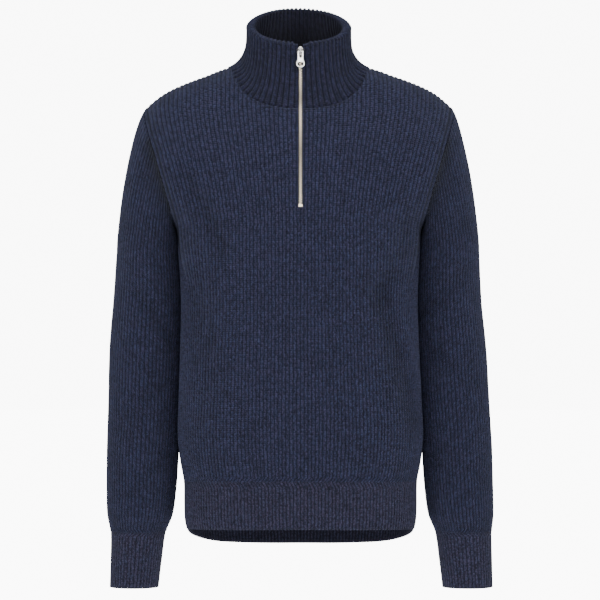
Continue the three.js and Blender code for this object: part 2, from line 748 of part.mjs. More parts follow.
// A strip along the zip: inner and outer distance from the middle, front and back depth
function strand(side, near, far, front, back, lowZ, highZ) {
  const skin = new Skin();
  const between = line.map((station) => station.point.z)
    .filter((z) => z > lowZ + ROW_GAP && z < highZ - ROW_GAP);
  const heights = [lowZ, ...between, highZ];
  const rows = heights.map((z) => {
    const { point, normal } = lineAt(z);
    const corner = (x, depth) => skin.add(new THREE.Vector3(side * x, point.y, point.z)
      .addScaledVector(normal, -depth));
    const row = [corner(near, front), corner(far, front), corner(far, back), corner(near, back)];
    return [...row, row[0]];
  });
  skin.grid(rows);
  const end = rows.length - 1;
  skin.strip([rows[0][0], rows[0][1]], [rows[0][3], rows[0][2]], true);
  skin.strip([rows[end][0], rows[end][1]], [rows[end][3], rows[end][2]]);
  return skin.solid();
}

function tape(side) {
  const top = line.at(-1).point.z - TAPE_PIECE.shortOfTop;
  const narrow = strand(side, TAPE_PIECE.inner, TAPE_PIECE.collarOuter, TAPE_PIECE.front, TAPE_PIECE.back,
    SLOT.bottomZ - TAPE_PIECE.tail, top);
  const wide = strand(side, TAPE_PIECE.inner, TAPE_PIECE.outer, TAPE_PIECE.front, TAPE_PIECE.back,
    SLOT.bottomZ - TAPE_PIECE.tail, topZ('front', 0) - TAPE_PIECE.belowNeck);
  return narrow.add(wide);
}

const slider = lineAt(SLIDER.z);
const sliderFrame = new THREE.Matrix4().makeBasis(new THREE.Vector3(1, 0, 0), slider.up,
  new THREE.Vector3(1, 0, 0).cross(slider.up)).setPosition(slider.point);

// A block in the slider's frame: half width, low and high along the zip, front and back depth
function block(half, low, high, front, back) {
  return solidOf(new THREE.BoxGeometry(half * 2, high - low, back - front)
    .translate(0, (low + high) / 2, -(front + back) / 2).applyMatrix4(sliderFrame));
}

function disc(radius, stretch, centre, front, back) {
  return solidOf(new THREE.CylinderGeometry(radius, radius, back - front, PULL.sides).rotateX(Math.PI / 2)
    .scale(stretch, 1, 1).translate(0, centre, -(front + back) / 2).applyMatrix4(sliderFrame));
}

const chainBottom = SLOT.bottomZ + SEAM + STOP.height + SEAM;
const chainTop = slider.point.z + slider.up.z * (POST.low - SEAM);
for (const [name, side] of [['right_of_photo', 1], ['left_of_photo', -1]]) {
  place(`zip_tape_${name}`, tape(side), TAPE);
  place(`zip_chain_${name}`, strand(side, CHAIN.inner, CHAIN.outer, CHAIN.front, CHAIN.back, chainBottom,
    chainTop), METAL);
}
place('zip_bottom_stop', strand(1, -STOP.half, STOP.half, STOP.front, STOP.back, SLOT.bottomZ + SEAM,
  SLOT.bottomZ + SEAM + STOP.height), METAL);

// Slider: front and back plates joined by the post above the chain, and the bridge for the pull
place('zip_slider', [
  block(SLIDER.frontHalf, -SLIDER.below, SLIDER.above, SLIDER.front, SLIDER.frontBack),
  block(SLIDER.backHalf, -SLIDER.below, SLIDER.above, SLIDER_BACK.front, SLIDER_BACK.back),
  block(POST.half, POST.low, POST.high, SLIDER.frontBack - POST.bite, SLIDER_BACK.front + POST.bite),
  block(BRIDGE.half, BRIDGE.inner, BRIDGE.outer, BRIDGE.top, SLIDER.front + POST.bite),
  block(BRIDGE.half, -BRIDGE.outer, -BRIDGE.inner, BRIDGE.top, SLIDER.front + POST.bite),
  block(BRIDGE.half, -BRIDGE.outer, BRIDGE.outer, BRIDGE.top, BRIDGE.under),
].reduce((whole, piece) => whole.add(piece)), METAL);

// Pull tab: its top bar lies under the bridge, a wide ring ends it
place('zip_pull', block(PULL.half, PULL.neckAt, PULL.top, PULL.front, PULL.back)
  .add(block(PULL.neckHalf, PULL.ringAt, PULL.neckAt, PULL.front, PULL.back))
  .add(disc(PULL.ringRadius, 1, PULL.ringAt, PULL.front, PULL.back))
  .subtract(block(PULL.hole, PULL.windowEnd, -PULL.top, PULL.front - PULL.through,
    PULL.back + PULL.through))
  .subtract(disc(PULL.ringHole, PULL.ringStretch, PULL.ringAt, PULL.front - PULL.through,
    PULL.back + PULL.through)), METAL);

export default group;
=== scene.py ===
import math

import bmesh
import bpy
import numpy as np
from mathutils import Matrix, Vector


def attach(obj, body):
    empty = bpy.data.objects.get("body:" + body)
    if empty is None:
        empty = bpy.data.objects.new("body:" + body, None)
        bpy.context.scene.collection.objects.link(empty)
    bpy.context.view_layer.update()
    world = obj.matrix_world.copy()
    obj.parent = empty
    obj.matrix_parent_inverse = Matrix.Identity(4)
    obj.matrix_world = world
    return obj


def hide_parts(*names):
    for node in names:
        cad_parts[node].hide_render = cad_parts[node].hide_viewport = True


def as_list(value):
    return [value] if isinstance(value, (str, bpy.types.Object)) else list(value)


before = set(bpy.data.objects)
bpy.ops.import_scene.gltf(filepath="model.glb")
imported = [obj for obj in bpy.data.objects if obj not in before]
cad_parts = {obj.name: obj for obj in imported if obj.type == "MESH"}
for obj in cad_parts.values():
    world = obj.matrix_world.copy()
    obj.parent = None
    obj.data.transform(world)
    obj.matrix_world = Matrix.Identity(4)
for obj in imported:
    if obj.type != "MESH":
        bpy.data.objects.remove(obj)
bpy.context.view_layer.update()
mm = 0.001  # the tables below are in millimetres, the meshes in metres


# camera: level with the belly, far enough back for the photo's flat view
view = {"distance": 4.0, "height": -0.3335, "across": -0.0007, "seenWidth": 0.870}

camData = bpy.data.cameras.new("photoCamera")
camData.sensor_width = 36
camData.lens = 36 * view["distance"] / view["seenWidth"]
camData.clip_end = 50
cam = bpy.data.objects.new("photoCamera", camData)
cam.location = (view["across"], -view["distance"], view["height"])
cam.rotation_euler = (math.radians(90), 0, 0)
bpy.context.scene.collection.objects.link(cam)
bpy.context.scene.camera = cam
print("camera set")


# the sweater's sizes, shared by all its cloth
knit = {
    "wall": 2.0,
    "rib": 1.5,
    "roundness": 2.3,      # higher makes flat-topped ribs with thin grooves
    "columnsPerRib": 6,
    "course": 3.1,         # height of one row of stitches
    "lap": 0.3,            # how far one edge reaches past the other at a seam
}
body = {
    "hemZ": -664, "joinZ": -596, "armZ": -205, "underarmDrop": 20, "blendZ": -330, "tipZ": -61,
    "frontLift": 7, "backDrop": 32,
    "ribsPerHalf": 48, "arm": 36 / 48, "neck": 16 / 48,
}

# the body's cross sections, from the hem to the top of the shoulders
bodySections = [
    # height, half the width, depth of the front, depth of the back, squareness
    (-664, 163.5, 119, 116, 2.6),
    (-655, 165.6, 119.6, 116.3, 2.6),
    (-645, 166.6, 120.2, 116.6, 2.6),
    (-630, 167, 121, 117, 2.6),
    (-596, 167.5, 123, 118, 2.6),
    (-570, 172, 127, 121, 2.6),
    (-531, 176, 129, 122, 2.6),
    (-478, 175, 127, 118, 2.6),
    (-406, 173, 124, 110, 2.6),
    (-333, 172, 123, 106, 2.5),
    (-261, 176, 124, 110, 2.5),
    (-225, 181, 123, 114, 2.5),
    (-190, 214, 120, 116, 2.5),
    (-160, 233, 116, 117, 2.5),
    (-123, 243, 109, 116, 2.5),
    (-91, 240, 98, 110, 2.4),
    (-61, 226, 85, 98, 2.3),
    (-43, 207, 77, 90, 2.3),
    (-32, 190, 72, 85, 2.3),
    (-20, 164, 66, 78, 2.3),
    (-10, 137, 59, 71, 2.3),
    (2, 104, 50, 60, 2.3),
    (10, 60, 44, 62, 2.3),
]
bodyTable = dict(zip(("z", "width", "front", "back", "power"), zip(*bodySections)))
# the side on the photo's right is a little narrower
rightTable = {
    "z": [-520, -330, -100, -43, -25, -10, 2],
    "share": [1, 0.978, 0.978, 0.985, 0.993, 0.98, 0.945],
}
armholeTable = {"z": [-225, -203, -160, -123, -91, -61], "x": [181, 186, 198, 209, 219, 226]}
neckTable = {
    "front": {"part": [0, 0.25, 0.5, 0.7, 0.85, 0.94, 0.97, 1], "z": [-61, -60, -55, -45, -30, -13, -6, 2]},
    "back": {"part": [0, 0.25, 0.5, 0.75, 1], "z": [10, 9.2, 6.5, 4, 2]},
}
# the back hem hangs lower than the front: share of the drop from the side seam inwards
dropTable = {"part": [0, 0.05, 0.1, 0.2, 0.3, 0.4, 0.5, 0.65, 0.8, 1],
             "share": [0, 0.07, 0.19, 0.41, 0.61, 0.78, 0.89, 0.965, 1, 1]}
# soft folds: start and end in the front view, width, depth
bodyFolds = {
    "front": [
        ((112, -319), (162, -508), 15, -6.5),
        ((136, -330), (171, -470), 12, 2.5),
        ((-160, -160), (-109, -261), 14, -5.5),
        ((-148, -330), (-128, -445), 22, -3.5),
        ((150, -230), (118, -330), 13, -3.0),
    ],
    "back": [((-70, -300), (70, -330), 20, -2.5)],
}


# smooth reading of one column of a table whose key rises
def readTable(table, key, column, at):
    keys = np.array(table[key], float)
    values = np.array(table[column], float)
    slopes = np.gradient(values, keys)
    inner = slice(1, -1)
    slopes[inner] = (values[2:] - values[:-2]) / (keys[2:] - keys[:-2])
    at = np.clip(np.asarray(at, float), keys[0], keys[-1])
    i = np.clip(np.searchsorted(keys, at, side="left") - 1, 0, len(keys) - 2)
    span = keys[i + 1] - keys[i]
    t = (at - keys[i]) / span
    return ((2 * t**3 - 3 * t**2 + 1) * values[i] + (t**3 - 2 * t**2 + t) * span * slopes[i]
            + (3 * t**2 - 2 * t**3) * values[i + 1] + (t**3 - t**2) * span * slopes[i + 1])


def smooth(low, high, value):
    t = np.clip((np.asarray(value, float) - low) / (high - low), 0, 1)
    return t * t * (3 - 2 * t)


def unit(vectors):
    return vectors / np.maximum(np.linalg.norm(vectors, axis=-1, keepdims=True), 1e-9)


# row-wise interpolation: each row of keys rises
def sampleRows(keys, values, at):
    i = np.clip((keys < at[:, None]).sum(axis=1) - 1, 0, keys.shape[1] - 2)[:, None]
    a, b = np.take_along_axis(keys, i, 1)[:, 0], np.take_along_axis(keys, i + 1, 1)[:, 0]
    va, vb = np.take_along_axis(values, i, 1)[:, 0], np.take_along_axis(values, i + 1, 1)[:, 0]
    t = np.clip((at - a) / (b - a), 0, 1)
    return va + (vb - va) * t


def rightShare(side, z):
    return np.where(np.asarray(side) < 0, 1, readTable(rightTable, "z", "share", z))


# how far the soft folds lift the cloth at points of the front view
def foldLift(face, x, z):
    lift = np.zeros(np.shape(x))
    for start, end, wide, deep in bodyFolds[face]:
        run = np.array(end, float) - start
        t = np.clip(((x - start[0]) * run[0] + (z - start[1]) * run[1]) / (run @ run), 0, 1)
        away = np.hypot(x - start[0] - t * run[0], z - start[1] - t * run[1]) / wide
        lift += deep * np.exp(-away**2)
    return lift


# points of the body's face for wales u (-1 to 1, side seam to side seam) at heights z, in mm
def bodyPoints(face, u, z):
    shape = np.shape(u)
    u, z = np.ravel(u).astype(float), np.ravel(z).astype(float)
    wale, side = np.abs(u), np.where(u < 0, -1.0, 1.0)
    width = readTable(bodyTable, "z", "width", z)[:, None]
    depth = readTable(bodyTable, "z", face, z)[:, None]
    power = readTable(bodyTable, "z", "power", z)[:, None]
    angle = np.linspace(0, math.pi / 2, 57)[None, :]
    xs = width * np.sin(angle) ** (2 / power)
    ys = depth * np.clip(np.cos(angle), 0, 1) ** (2 / power)
    ys[:, -1] = 0
    steps = np.hypot(np.diff(xs, axis=1), np.diff(ys, axis=1))
    lengths = np.concatenate([np.zeros((len(z), 1)), np.cumsum(steps, axis=1)], axis=1)
    total = lengths[:, -1]
    blend = smooth(body["blendZ"], body["armZ"], z)
    armX = readTable(armholeTable, "z", "x", z)

    def mixed(part):
        reach = np.minimum(part / body["arm"] * armX, width[:, 0])
        return part * total * (1 - blend) + sampleRows(xs, lengths, reach) * blend

    atArm = mixed(np.full_like(wale, body["arm"]))
    beyond = (wale - body["arm"]) / (1 - body["arm"])
    length = np.where(wale <= body["arm"], mixed(np.minimum(wale, body["arm"])),
                      atArm + (total - atArm) * beyond)
    x = side * sampleRows(lengths, xs, length) * rightShare(side, z)
    y = sampleRows(lengths, ys, length)
    y = y + smooth(0, 20, y) * foldLift(face, x, z)
    fade = 1 - smooth(body["hemZ"], body["armZ"], z)
    if face == "back":
        drop = body["backDrop"] * readTable(dropTable, "part", "share", 1 - wale) * fade
    else:
        drop = -body["frontLift"] * (1 - wale**2) * fade
    turn = 1 if face == "back" else -1
    return np.stack([x, turn * y, z - drop], axis=1).reshape(*shape, 3)


def topZ(face, u):
    wale = np.abs(u)
    neckZ = readTable(neckTable[face], "part", "z", np.minimum(wale / body["neck"], 1))
    heights = np.linspace(body["tipZ"], 2, 400)
    widths = readTable(bodyTable, "z", "width", heights)
    reach = wale / body["arm"] * 226
    seamZ = np.interp(reach, widths[::-1], heights[::-1])
    return np.where(wale <= body["neck"], neckZ, seamZ)


def underarmZ(u):
    part = np.clip((np.abs(u) - body["arm"]) / (1 - body["arm"]), 0, 1)
    return body["armZ"] - body["underarmDrop"] * (1 - (1 - part) ** 2)


# outward directions of a grid of points; closed wraps the columns round
def gridNormals(points, closed=False):
    if closed:
        ring = points[:, :-1]
        across = np.roll(ring, -1, axis=1) - np.roll(ring, 1, axis=1)
        across = np.concatenate([across, across[:, :1]], axis=1)
    else:
        across = np.gradient(points, axis=1)
    return unit(np.cross(across, np.gradient(points, axis=0)))


# 0 in the grooves, 1 on the ribs' backs
def ribShape(ribs):
    return 1 - np.abs(2 * (ribs % 1) - 1) ** knit["roundness"]


# cloth meshes: a grid is laid out flat, then its points are moved to the sewn shape
def clothMesh(name, points, uv, dropFace=None, closed=False, cuts=None, wall=knit["wall"], shade=None):
    rows, columns = points.shape[0] - 1, points.shape[1] - 1
    bm = bmesh.new()
    bm.loops.layers.uv.new("UVMap")
    bmesh.ops.create_grid(bm, x_segments=columns, y_segments=rows, size=1, calc_uvs=True)
    if dropFace:
        extra = [f for f in bm.faces if dropFace(*(0.5 + 0.5 * c for c in f.calc_center_median()[:2]))]
        bmesh.ops.delete(bm, geom=extra, context="FACES")
    mesh = bpy.data.meshes.new(name)
    bm.to_mesh(mesh)
    bm.free()
    flat = np.empty(len(mesh.vertices) * 3)
    mesh.vertices.foreach_get("co", flat)
    flat = flat.reshape(-1, 3)
    column = np.rint((flat[:, 0] + 1) / 2 * columns).astype(int)
    row = np.rint((flat[:, 1] + 1) / 2 * rows).astype(int)
    mesh.vertices.foreach_set("co", (points[row, column] * mm).ravel())
    corner = np.empty(len(mesh.loops), int)
    mesh.loops.foreach_get("vertex_index", corner)
    mesh.uv_layers["UVMap"].data.foreach_set("uv", uv[row[corner], column[corner]].ravel())
    # the shade attribute holds painted shading, a factor on the wool's colour; 1 leaves it unchanged
    if shade is None:
        shade = np.ones(points.shape[:2])
    values = shade[row, column].astype(np.float32)
    mesh.attributes.new("shade", "FLOAT", "POINT").data.foreach_set("value", values)
    mesh.update()
    bm = bmesh.new()
    bm.from_mesh(mesh)
    if closed:
        bmesh.ops.remove_doubles(bm, verts=bm.verts, dist=1e-6)
    if cuts:
        cuts(bm)
    bm.to_mesh(mesh)
    bm.free()
    mesh.polygons.foreach_set("use_smooth", np.ones(len(mesh.polygons), bool))
    piece = bpy.data.objects.new(name, mesh)
    bpy.context.scene.collection.objects.link(piece)
    if wall:
        thicken = piece.modifiers.new("knitWall", "SOLIDIFY")
        thicken.thickness = wall * mm
        thicken.offset = -1
    return piece


# turns the faces so that they agree with the outward side
def faceOutward(piece, centre):
    mesh = piece.data
    bm = bmesh.new()
    bm.from_mesh(mesh)
    bm.normal_update()
    score = sum(f.normal.dot(f.calc_center_median() - Vector(centre(f.calc_center_median()))) * f.calc_area()
                for f in list(bm.faces)[::37])
    if score < 0:
        bmesh.ops.reverse_faces(bm, faces=bm.faces)
    bm.to_mesh(mesh)
    bm.free()


def bodyAxis(point):
    return (point.x * 0.4, 0, min(point.z, -0.12))


# the zip's slit up the front panel and the collar
slit = {"half": 3.6, "bottomZ": -203, "plainFrom": 8, "plainTo": 12.5}


def zipFade(points):
    beside = smooth(slit["plainFrom"], slit["plainTo"], np.abs(points[..., 0]))
    above = smooth(slit["bottomZ"] - 4, slit["bottomZ"] + 2, points[..., 2])
    front = (points[..., 1] < 0).astype(float)
    return 1 - (1 - beside) * above * front


def cutSlit(bm):
    for planeX in (-slit["half"], slit["half"]):
        bmesh.ops.bisect_plane(bm, geom=list(bm.verts) + list(bm.edges) + list(bm.faces),
                               plane_co=(planeX * mm, 0, 0), plane_no=(1, 0, 0))
    bmesh.ops.bisect_plane(bm, geom=list(bm.verts) + list(bm.edges) + list(bm.faces),
                           plane_co=(0, 0, slit["bottomZ"] * mm), plane_no=(0, 0, 1))
    inSlit = []
    for f in bm.faces:
        c = f.calc_center_median()
        if abs(c.x) < slit["half"] * mm and c.z > slit["bottomZ"] * mm and c.y < 0:
            inSlit.append(f)
    bmesh.ops.delete(bm, geom=inSlit, context="FACES")


# front and back panels
panelRows = {"lower": 52, "upper": 27, "fine": 10, "fineHeight": 13}
racking = {"above": 6.5, "below": 8.5, "shift": 1.1}  # the chevron of ribs where bands are joined on


def wobble(ribs, courses, seed):
    rng = np.random.default_rng(seed)
    total = np.zeros(np.broadcast(ribs, courses).shape)
    for size, amount in ((5.0, 0.5), (2.1, 0.3), (11.0, 0.6)):
        a, b = rng.uniform(0, 6.28, 2)
        total += amount * np.sin(ribs / size * 2.1 + a + 0.9 * np.sin(courses / (size * 9) + b)) \
            * np.sin(courses / (size * 4.3) + b + 0.7 * np.sin(ribs / size + a))
    return total


# sideways shift of the ribs, in ribs, at a distance above a band's join
def rackedRibs(above, share=1.0):
    reach = np.where(above > 0, racking["above"], racking["below"]) * share
    return racking["shift"] * np.clip(1 - np.abs(above) / reach, 0, 1)


# turns the outermost points in, so that two pieces meet in a groove
def tuck(points, normals, rows, columns, depth=0.9):
    facing = smooth(0.1, 0.6, np.abs(normals[rows, columns, 1]))[..., None]
    points[rows, columns] -= normals[rows, columns] * depth * facing


def panelPoints(face):
    half = body["ribsPerHalf"] * knit["columnsPerRib"]
    u = np.arange(-half, half + 1) / half
    fine = np.linspace(0, panelRows["fineHeight"] / (body["armZ"] - body["joinZ"]), panelRows["fine"] + 1)
    lower = np.concatenate([fine, np.linspace(fine[-1], 1, panelRows["lower"] + 1)[1:]])[:, None]
    upper = np.concatenate([np.linspace(0, 0.985, panelRows["upper"])[1:], [1]])[:, None]
    zLower = body["joinZ"] + (underarmZ(u)[None, :] - body["joinZ"]) * lower
    inside = np.abs(u) <= body["arm"] + 1e-6
    zUpper = np.where(inside[None, :], body["armZ"] + (topZ(face, u)[None, :] - body["armZ"]) * upper,
                      underarmZ(u))
    z = np.concatenate([zLower, zUpper])
    points = bodyPoints(face, np.broadcast_to(u, z.shape), z)
    normals = gridNormals(points)
    cut = len(lower) - 1
    normals[cut + 1:, inside] = gridNormals(points[cut:, inside])[1:]
    if face == "back":
        normals = -normals
    normals[:, [0, -1], 1] = 0
    seamTop = inside & (np.abs(u) >= body["neck"])
    normals[-1, seamTop, 1] = 0
    normals = unit(normals)
    seed = 3 if face == "front" else 4
    ribs = u[None, :] * body["ribsPerHalf"] + rackedRibs(z - body["joinZ"])
    ribs = ribs + 0.1 * wobble(u[None, :] * body["ribsPerHalf"] * 0.7, points[..., 2] * 1.4, seed + 10)
    rise = ribShape(ribs) * knit["rib"] * zipFade(points)
    rise = rise + 0.3 * wobble(u[None, :] * body["ribsPerHalf"], points[..., 2], seed)
    rise[:, [0, -1]] = 0
    points = points + normals * rise[..., None]
    tuck(points, normals, 0, slice(None), 0.25)
    tuck(points, normals, -1, inside)
    tuck(points, normals, -2, inside, 0.35)
    for edge in np.flatnonzero(inside)[[0, -1]]:
        tuck(points, normals, slice(cut, None), edge)
    tuck(points, normals, cut, ~inside)
    turn = 1 if face == "back" else -1
    points[..., 1] = turn * np.maximum(points[..., 1] * turn, 0)
    steps = np.linalg.norm(np.diff(points, axis=0), axis=2)
    courses = np.concatenate([np.zeros((1, points.shape[1])), np.cumsum(steps, axis=0)]) / knit["course"]
    uv = np.stack([ribs, courses], axis=2)
    return points, uv, cut / (len(z) - 1)


def makePanel(face):
    points, uv, split = panelPoints(face)
    # painted shading: the wool is darker in the folds' troughs and lighter on their ridges
    shade = np.clip(1 + 0.035 * foldLift(face, points[..., 0], points[..., 2]), 0.6, 1.1)
    piece = clothMesh(face + "PanelKnit", points, uv, shade=shade,
                      dropFace=lambda a, b: abs(2 * a - 1) > body["arm"] and b > split,
                      cuts=cutSlit if face == "front" else None)
    faceOutward(piece, bodyAxis)
    return piece


frontPanel = makePanel("front")
backPanel = makePanel("back")
print("panels knitted")


# hem bands, a tighter rib with a zigzag row where they join the panels
hem = {"rows": 12, "fine": 8, "rib": 1.4, "course": 2.6}


# rows of a band from its free edge to its join, finer near the join
def bandHeights(free, join):
    near = join - racking["below"]
    return np.concatenate([np.linspace(free, near, hem["rows"] + 1),
                           np.linspace(near, join, hem["fine"] + 1)[1:]])


def makeHem(face):
    half = body["ribsPerHalf"] * knit["columnsPerRib"]
    u = np.arange(-half, half + 1) / half
    top = body["joinZ"] + knit["lap"]
    z = bandHeights(body["hemZ"], top)[:, None] + 0 * u[None, :]
    points = bodyPoints(face, np.broadcast_to(u, z.shape), z)
    normals = gridNormals(points) * (-1 if face == "back" else 1)
    normals[:, [0, -1], 1] = 0
    normals = unit(normals)
    ribs = u[None, :] * body["ribsPerHalf"] + rackedRibs(z - body["joinZ"])
    rise = ribShape(ribs) * hem["rib"] + 0.12 * wobble(ribs, z, 8)
    rise[:, [0, -1]] = 0
    points = points + normals * rise[..., None]
    tuck(points, normals, -1, slice(None), 0.25)
    turn = 1 if face == "back" else -1
    points[..., 1] = turn * np.maximum(points[..., 1] * turn, 0)
    uv = np.stack([ribs, (z - body["hemZ"]) / hem["course"]], axis=2)
    piece = clothMesh(face + "HemKnit", points, uv, wall=2.2)
    faceOutward(piece, bodyAxis)
    return piece


frontHem = makeHem("front")
backHem = makeHem("back")
print("hem bands knitted")


# edge loops that sleeves and collar are sewn to
def edgeLoop(stations, towards):
    points = np.array([s[0] for s in stations])
    normals = np.array([s[1] for s in stations])
    tangents = unit(np.roll(points, -1, axis=0) - np.roll(points, 1, axis=0))
    away = unit(np.cross(tangents, normals))
    flip = (away * towards(points)).sum(axis=1) < 0
    away[flip] *= -1
    closedPoints = np.vstack([points, points[:1]])
    starts = np.concatenate([[0], np.cumsum(np.linalg.norm(np.diff(closedPoints, axis=0), axis=1))])
    return {"points": closedPoints, "normals": np.vstack([normals, normals[:1]]),
            "away": np.vstack([away, away[:1]]),
            "parts": starts / starts[-1]}


def alongLoop(loop, part):
    def read(values):
        return np.stack([np.interp(part % 1, loop["parts"], values[:, k]) for k in range(3)], axis=-1)

    return read(loop["points"]), unit(read(loop["normals"])), unit(read(loop["away"]))


# base point and outward direction on the body's face
def bodyFrame(face, u, z):
    nudge = 0.004
    u, z = float(u), float(z)
    side = 1 if u >= 0 else -1
    samples = bodyPoints(face, np.array([u, u - side * nudge, u]), np.array([z, z, z - 1.0]))
    across = (samples[0] - samples[1]) * side
    normal = np.cross(across, samples[0] - samples[2])
    if face == "back":
        normal = -normal
    if abs(abs(u) - 1) < 1e-6 or (abs(u) >= body["neck"] - 1e-6 and z > body["tipZ"] - 1e-6
                                  and abs(z - float(topZ(face, u))) < 0.01):
        normal[1] = 0
    return samples[0], unit(normal)


def hermite(a, goA, b, goB, t):
    return ((2 * t**3 - 3 * t**2 + 1) * a + (t**3 - 2 * t**2 + t) * goA
            + (3 * t**2 - 2 * t**3) * b + (t**3 - t**2) * goB)


# sleeves, set into the armholes and hanging beside the body
sleeve = {
    "ribs": 64, "capRows": 30, "tubeRows": 66, "topZ": -264, "bottomZ": -668,
    "power": 2.15, "startPull": 0.45, "endPull": 0.8, "underarmPull": 12, "underarmLean": (0.35, 0, 0.5),
    "valley": 1.3,
    "crown": {"fromZ": -150, "toZ": -75, "share": 0.85, "left": 0.6, "right": 0.4, "down": -0.8},
    "cuffRibs": 48, "cuffRib": 1.0, "cuffTopZ": -667.7, "cuffBottomZ": -749,
}
sleeveTable = {
    "z":          [-749, -710, -668, -645, -610, -550, -478, -406, -333, -264],
    "outerLeft":  [275.5, 274.5, 274.5, 279, 280.6, 280.6, 279, 277.7, 272, 266],
    "outerRight": [277.7, 277, 276.5, 279, 279, 277.7, 274, 270, 263, 259],
    "inner":      [206.6, 202, 196, 187, 182, 178, 174, 171, 170, 174],
    "y":          [0, 2, 5, 7, 12, 20, 28, 32, 30, 20],
    "depth":      [33, 35, 39, 49, 53, 54, 54, 57, 61, 66],
}


def armholeLoop(side):
    under = np.arange(48, 36, -1) / 48
    heights = np.linspace(body["armZ"], body["tipZ"], 25)
    stations = [bodyFrame("front", side * u, underarmZ(u)) for u in under]
    stations += [bodyFrame("front", side * body["arm"], z) for z in heights]
    stations += [bodyFrame("back", side * body["arm"], z) for z in heights[:-1][::-1]]
    stations += [bodyFrame("back", side * u, underarmZ(u)) for u in under[1:][::-1]]

    def towards(points):
        upward = 1 - smooth(-225, body["armZ"], points[:, 2])
        return np.stack([np.full(len(points), float(side)), np.zeros(len(points)), upward], axis=1)

    return edgeLoop(stations, towards)


def tubePoints(side, z, part):
    outer = readTable(sleeveTable, "z", "outerLeft" if side < 0 else "outerRight", z)
    inner = readTable(sleeveTable, "z", "inner", z) * rightShare(side, z)
    swell = lambda value: np.sign(value) * np.abs(value) ** (2 / sleeve["power"])
    angle = part * 2 * math.pi
    x = (outer + inner) / 2 - (outer - inner) / 2 * swell(np.cos(angle))
    y = readTable(sleeveTable, "z", "y", z) - readTable(sleeveTable, "z", "depth", z) * swell(np.sin(angle))
    return np.stack(np.broadcast_arrays(side * x, y, z), axis=-1).astype(float)


# moves a sleeve's points out to where they lie against the body's side
def besideBody(side, points, clear):
    x, y, z = points[..., 0] * side, points[..., 1], points[..., 2]
    width = readTable(bodyTable, "z", "width", z) * rightShare(side, z)
    depth = np.where(y < 0, readTable(bodyTable, "z", "front", z), readTable(bodyTable, "z", "back", z))
    power = readTable(bodyTable, "z", "power", z)
    reach = width * np.clip(1 - (np.abs(y) / depth) ** power, 0, 1) ** (1 / power) + clear
    below = 1 - smooth(-232, -212, z)
    soft = 2.0
    pushed = reach + soft * np.log1p(np.exp(np.clip((x - reach) / soft, -30, 30)))
    moved = points.copy()
    moved[..., 0] = side * (x + (np.maximum(pushed, x) - x) * below * (reach > clear + 1))
    return moved


# soft creases over the front of a sleeve: ends in the front view, width, depth
sleeveCreases = {
    -1: [
        ((-236, -326), (-184, -400), 9, -3.2),
        ((-228, -352), (-192, -402), 8, 1.6),
        ((-205, -455), (-262, -520), 14, -1.8),
        ((-196, -560), (-250, -612), 11, -1.8),
        ((-262, -215), (-205, -262), 14, -2.0),
    ],
    1: [
        ((176, -350), (236, -300), 12, -2.6),
        ((188, -420), (250, -452), 14, -2.0),
        ((196, -545), (262, -590), 13, -2.0),
        ((205, -255), (258, -205), 13, -2.0),
    ],
}


def sleeveFolds(side, points):
    x, z = points[..., 0], points[..., 2]
    total = np.zeros(x.shape)
    for start, end, wide, deep in sleeveCreases[side]:
        run = np.array(end, float) - start
        t = np.clip(((x - start[0]) * run[0] + (z - start[1]) * run[1]) / (run @ run), 0, 1)
        away = np.hypot(x - start[0] - t * run[0], z - start[1] - t * run[1]) / wide
        total += deep * np.exp(-away**2)
    return total * smooth(0, 30, 20 - points[..., 1])


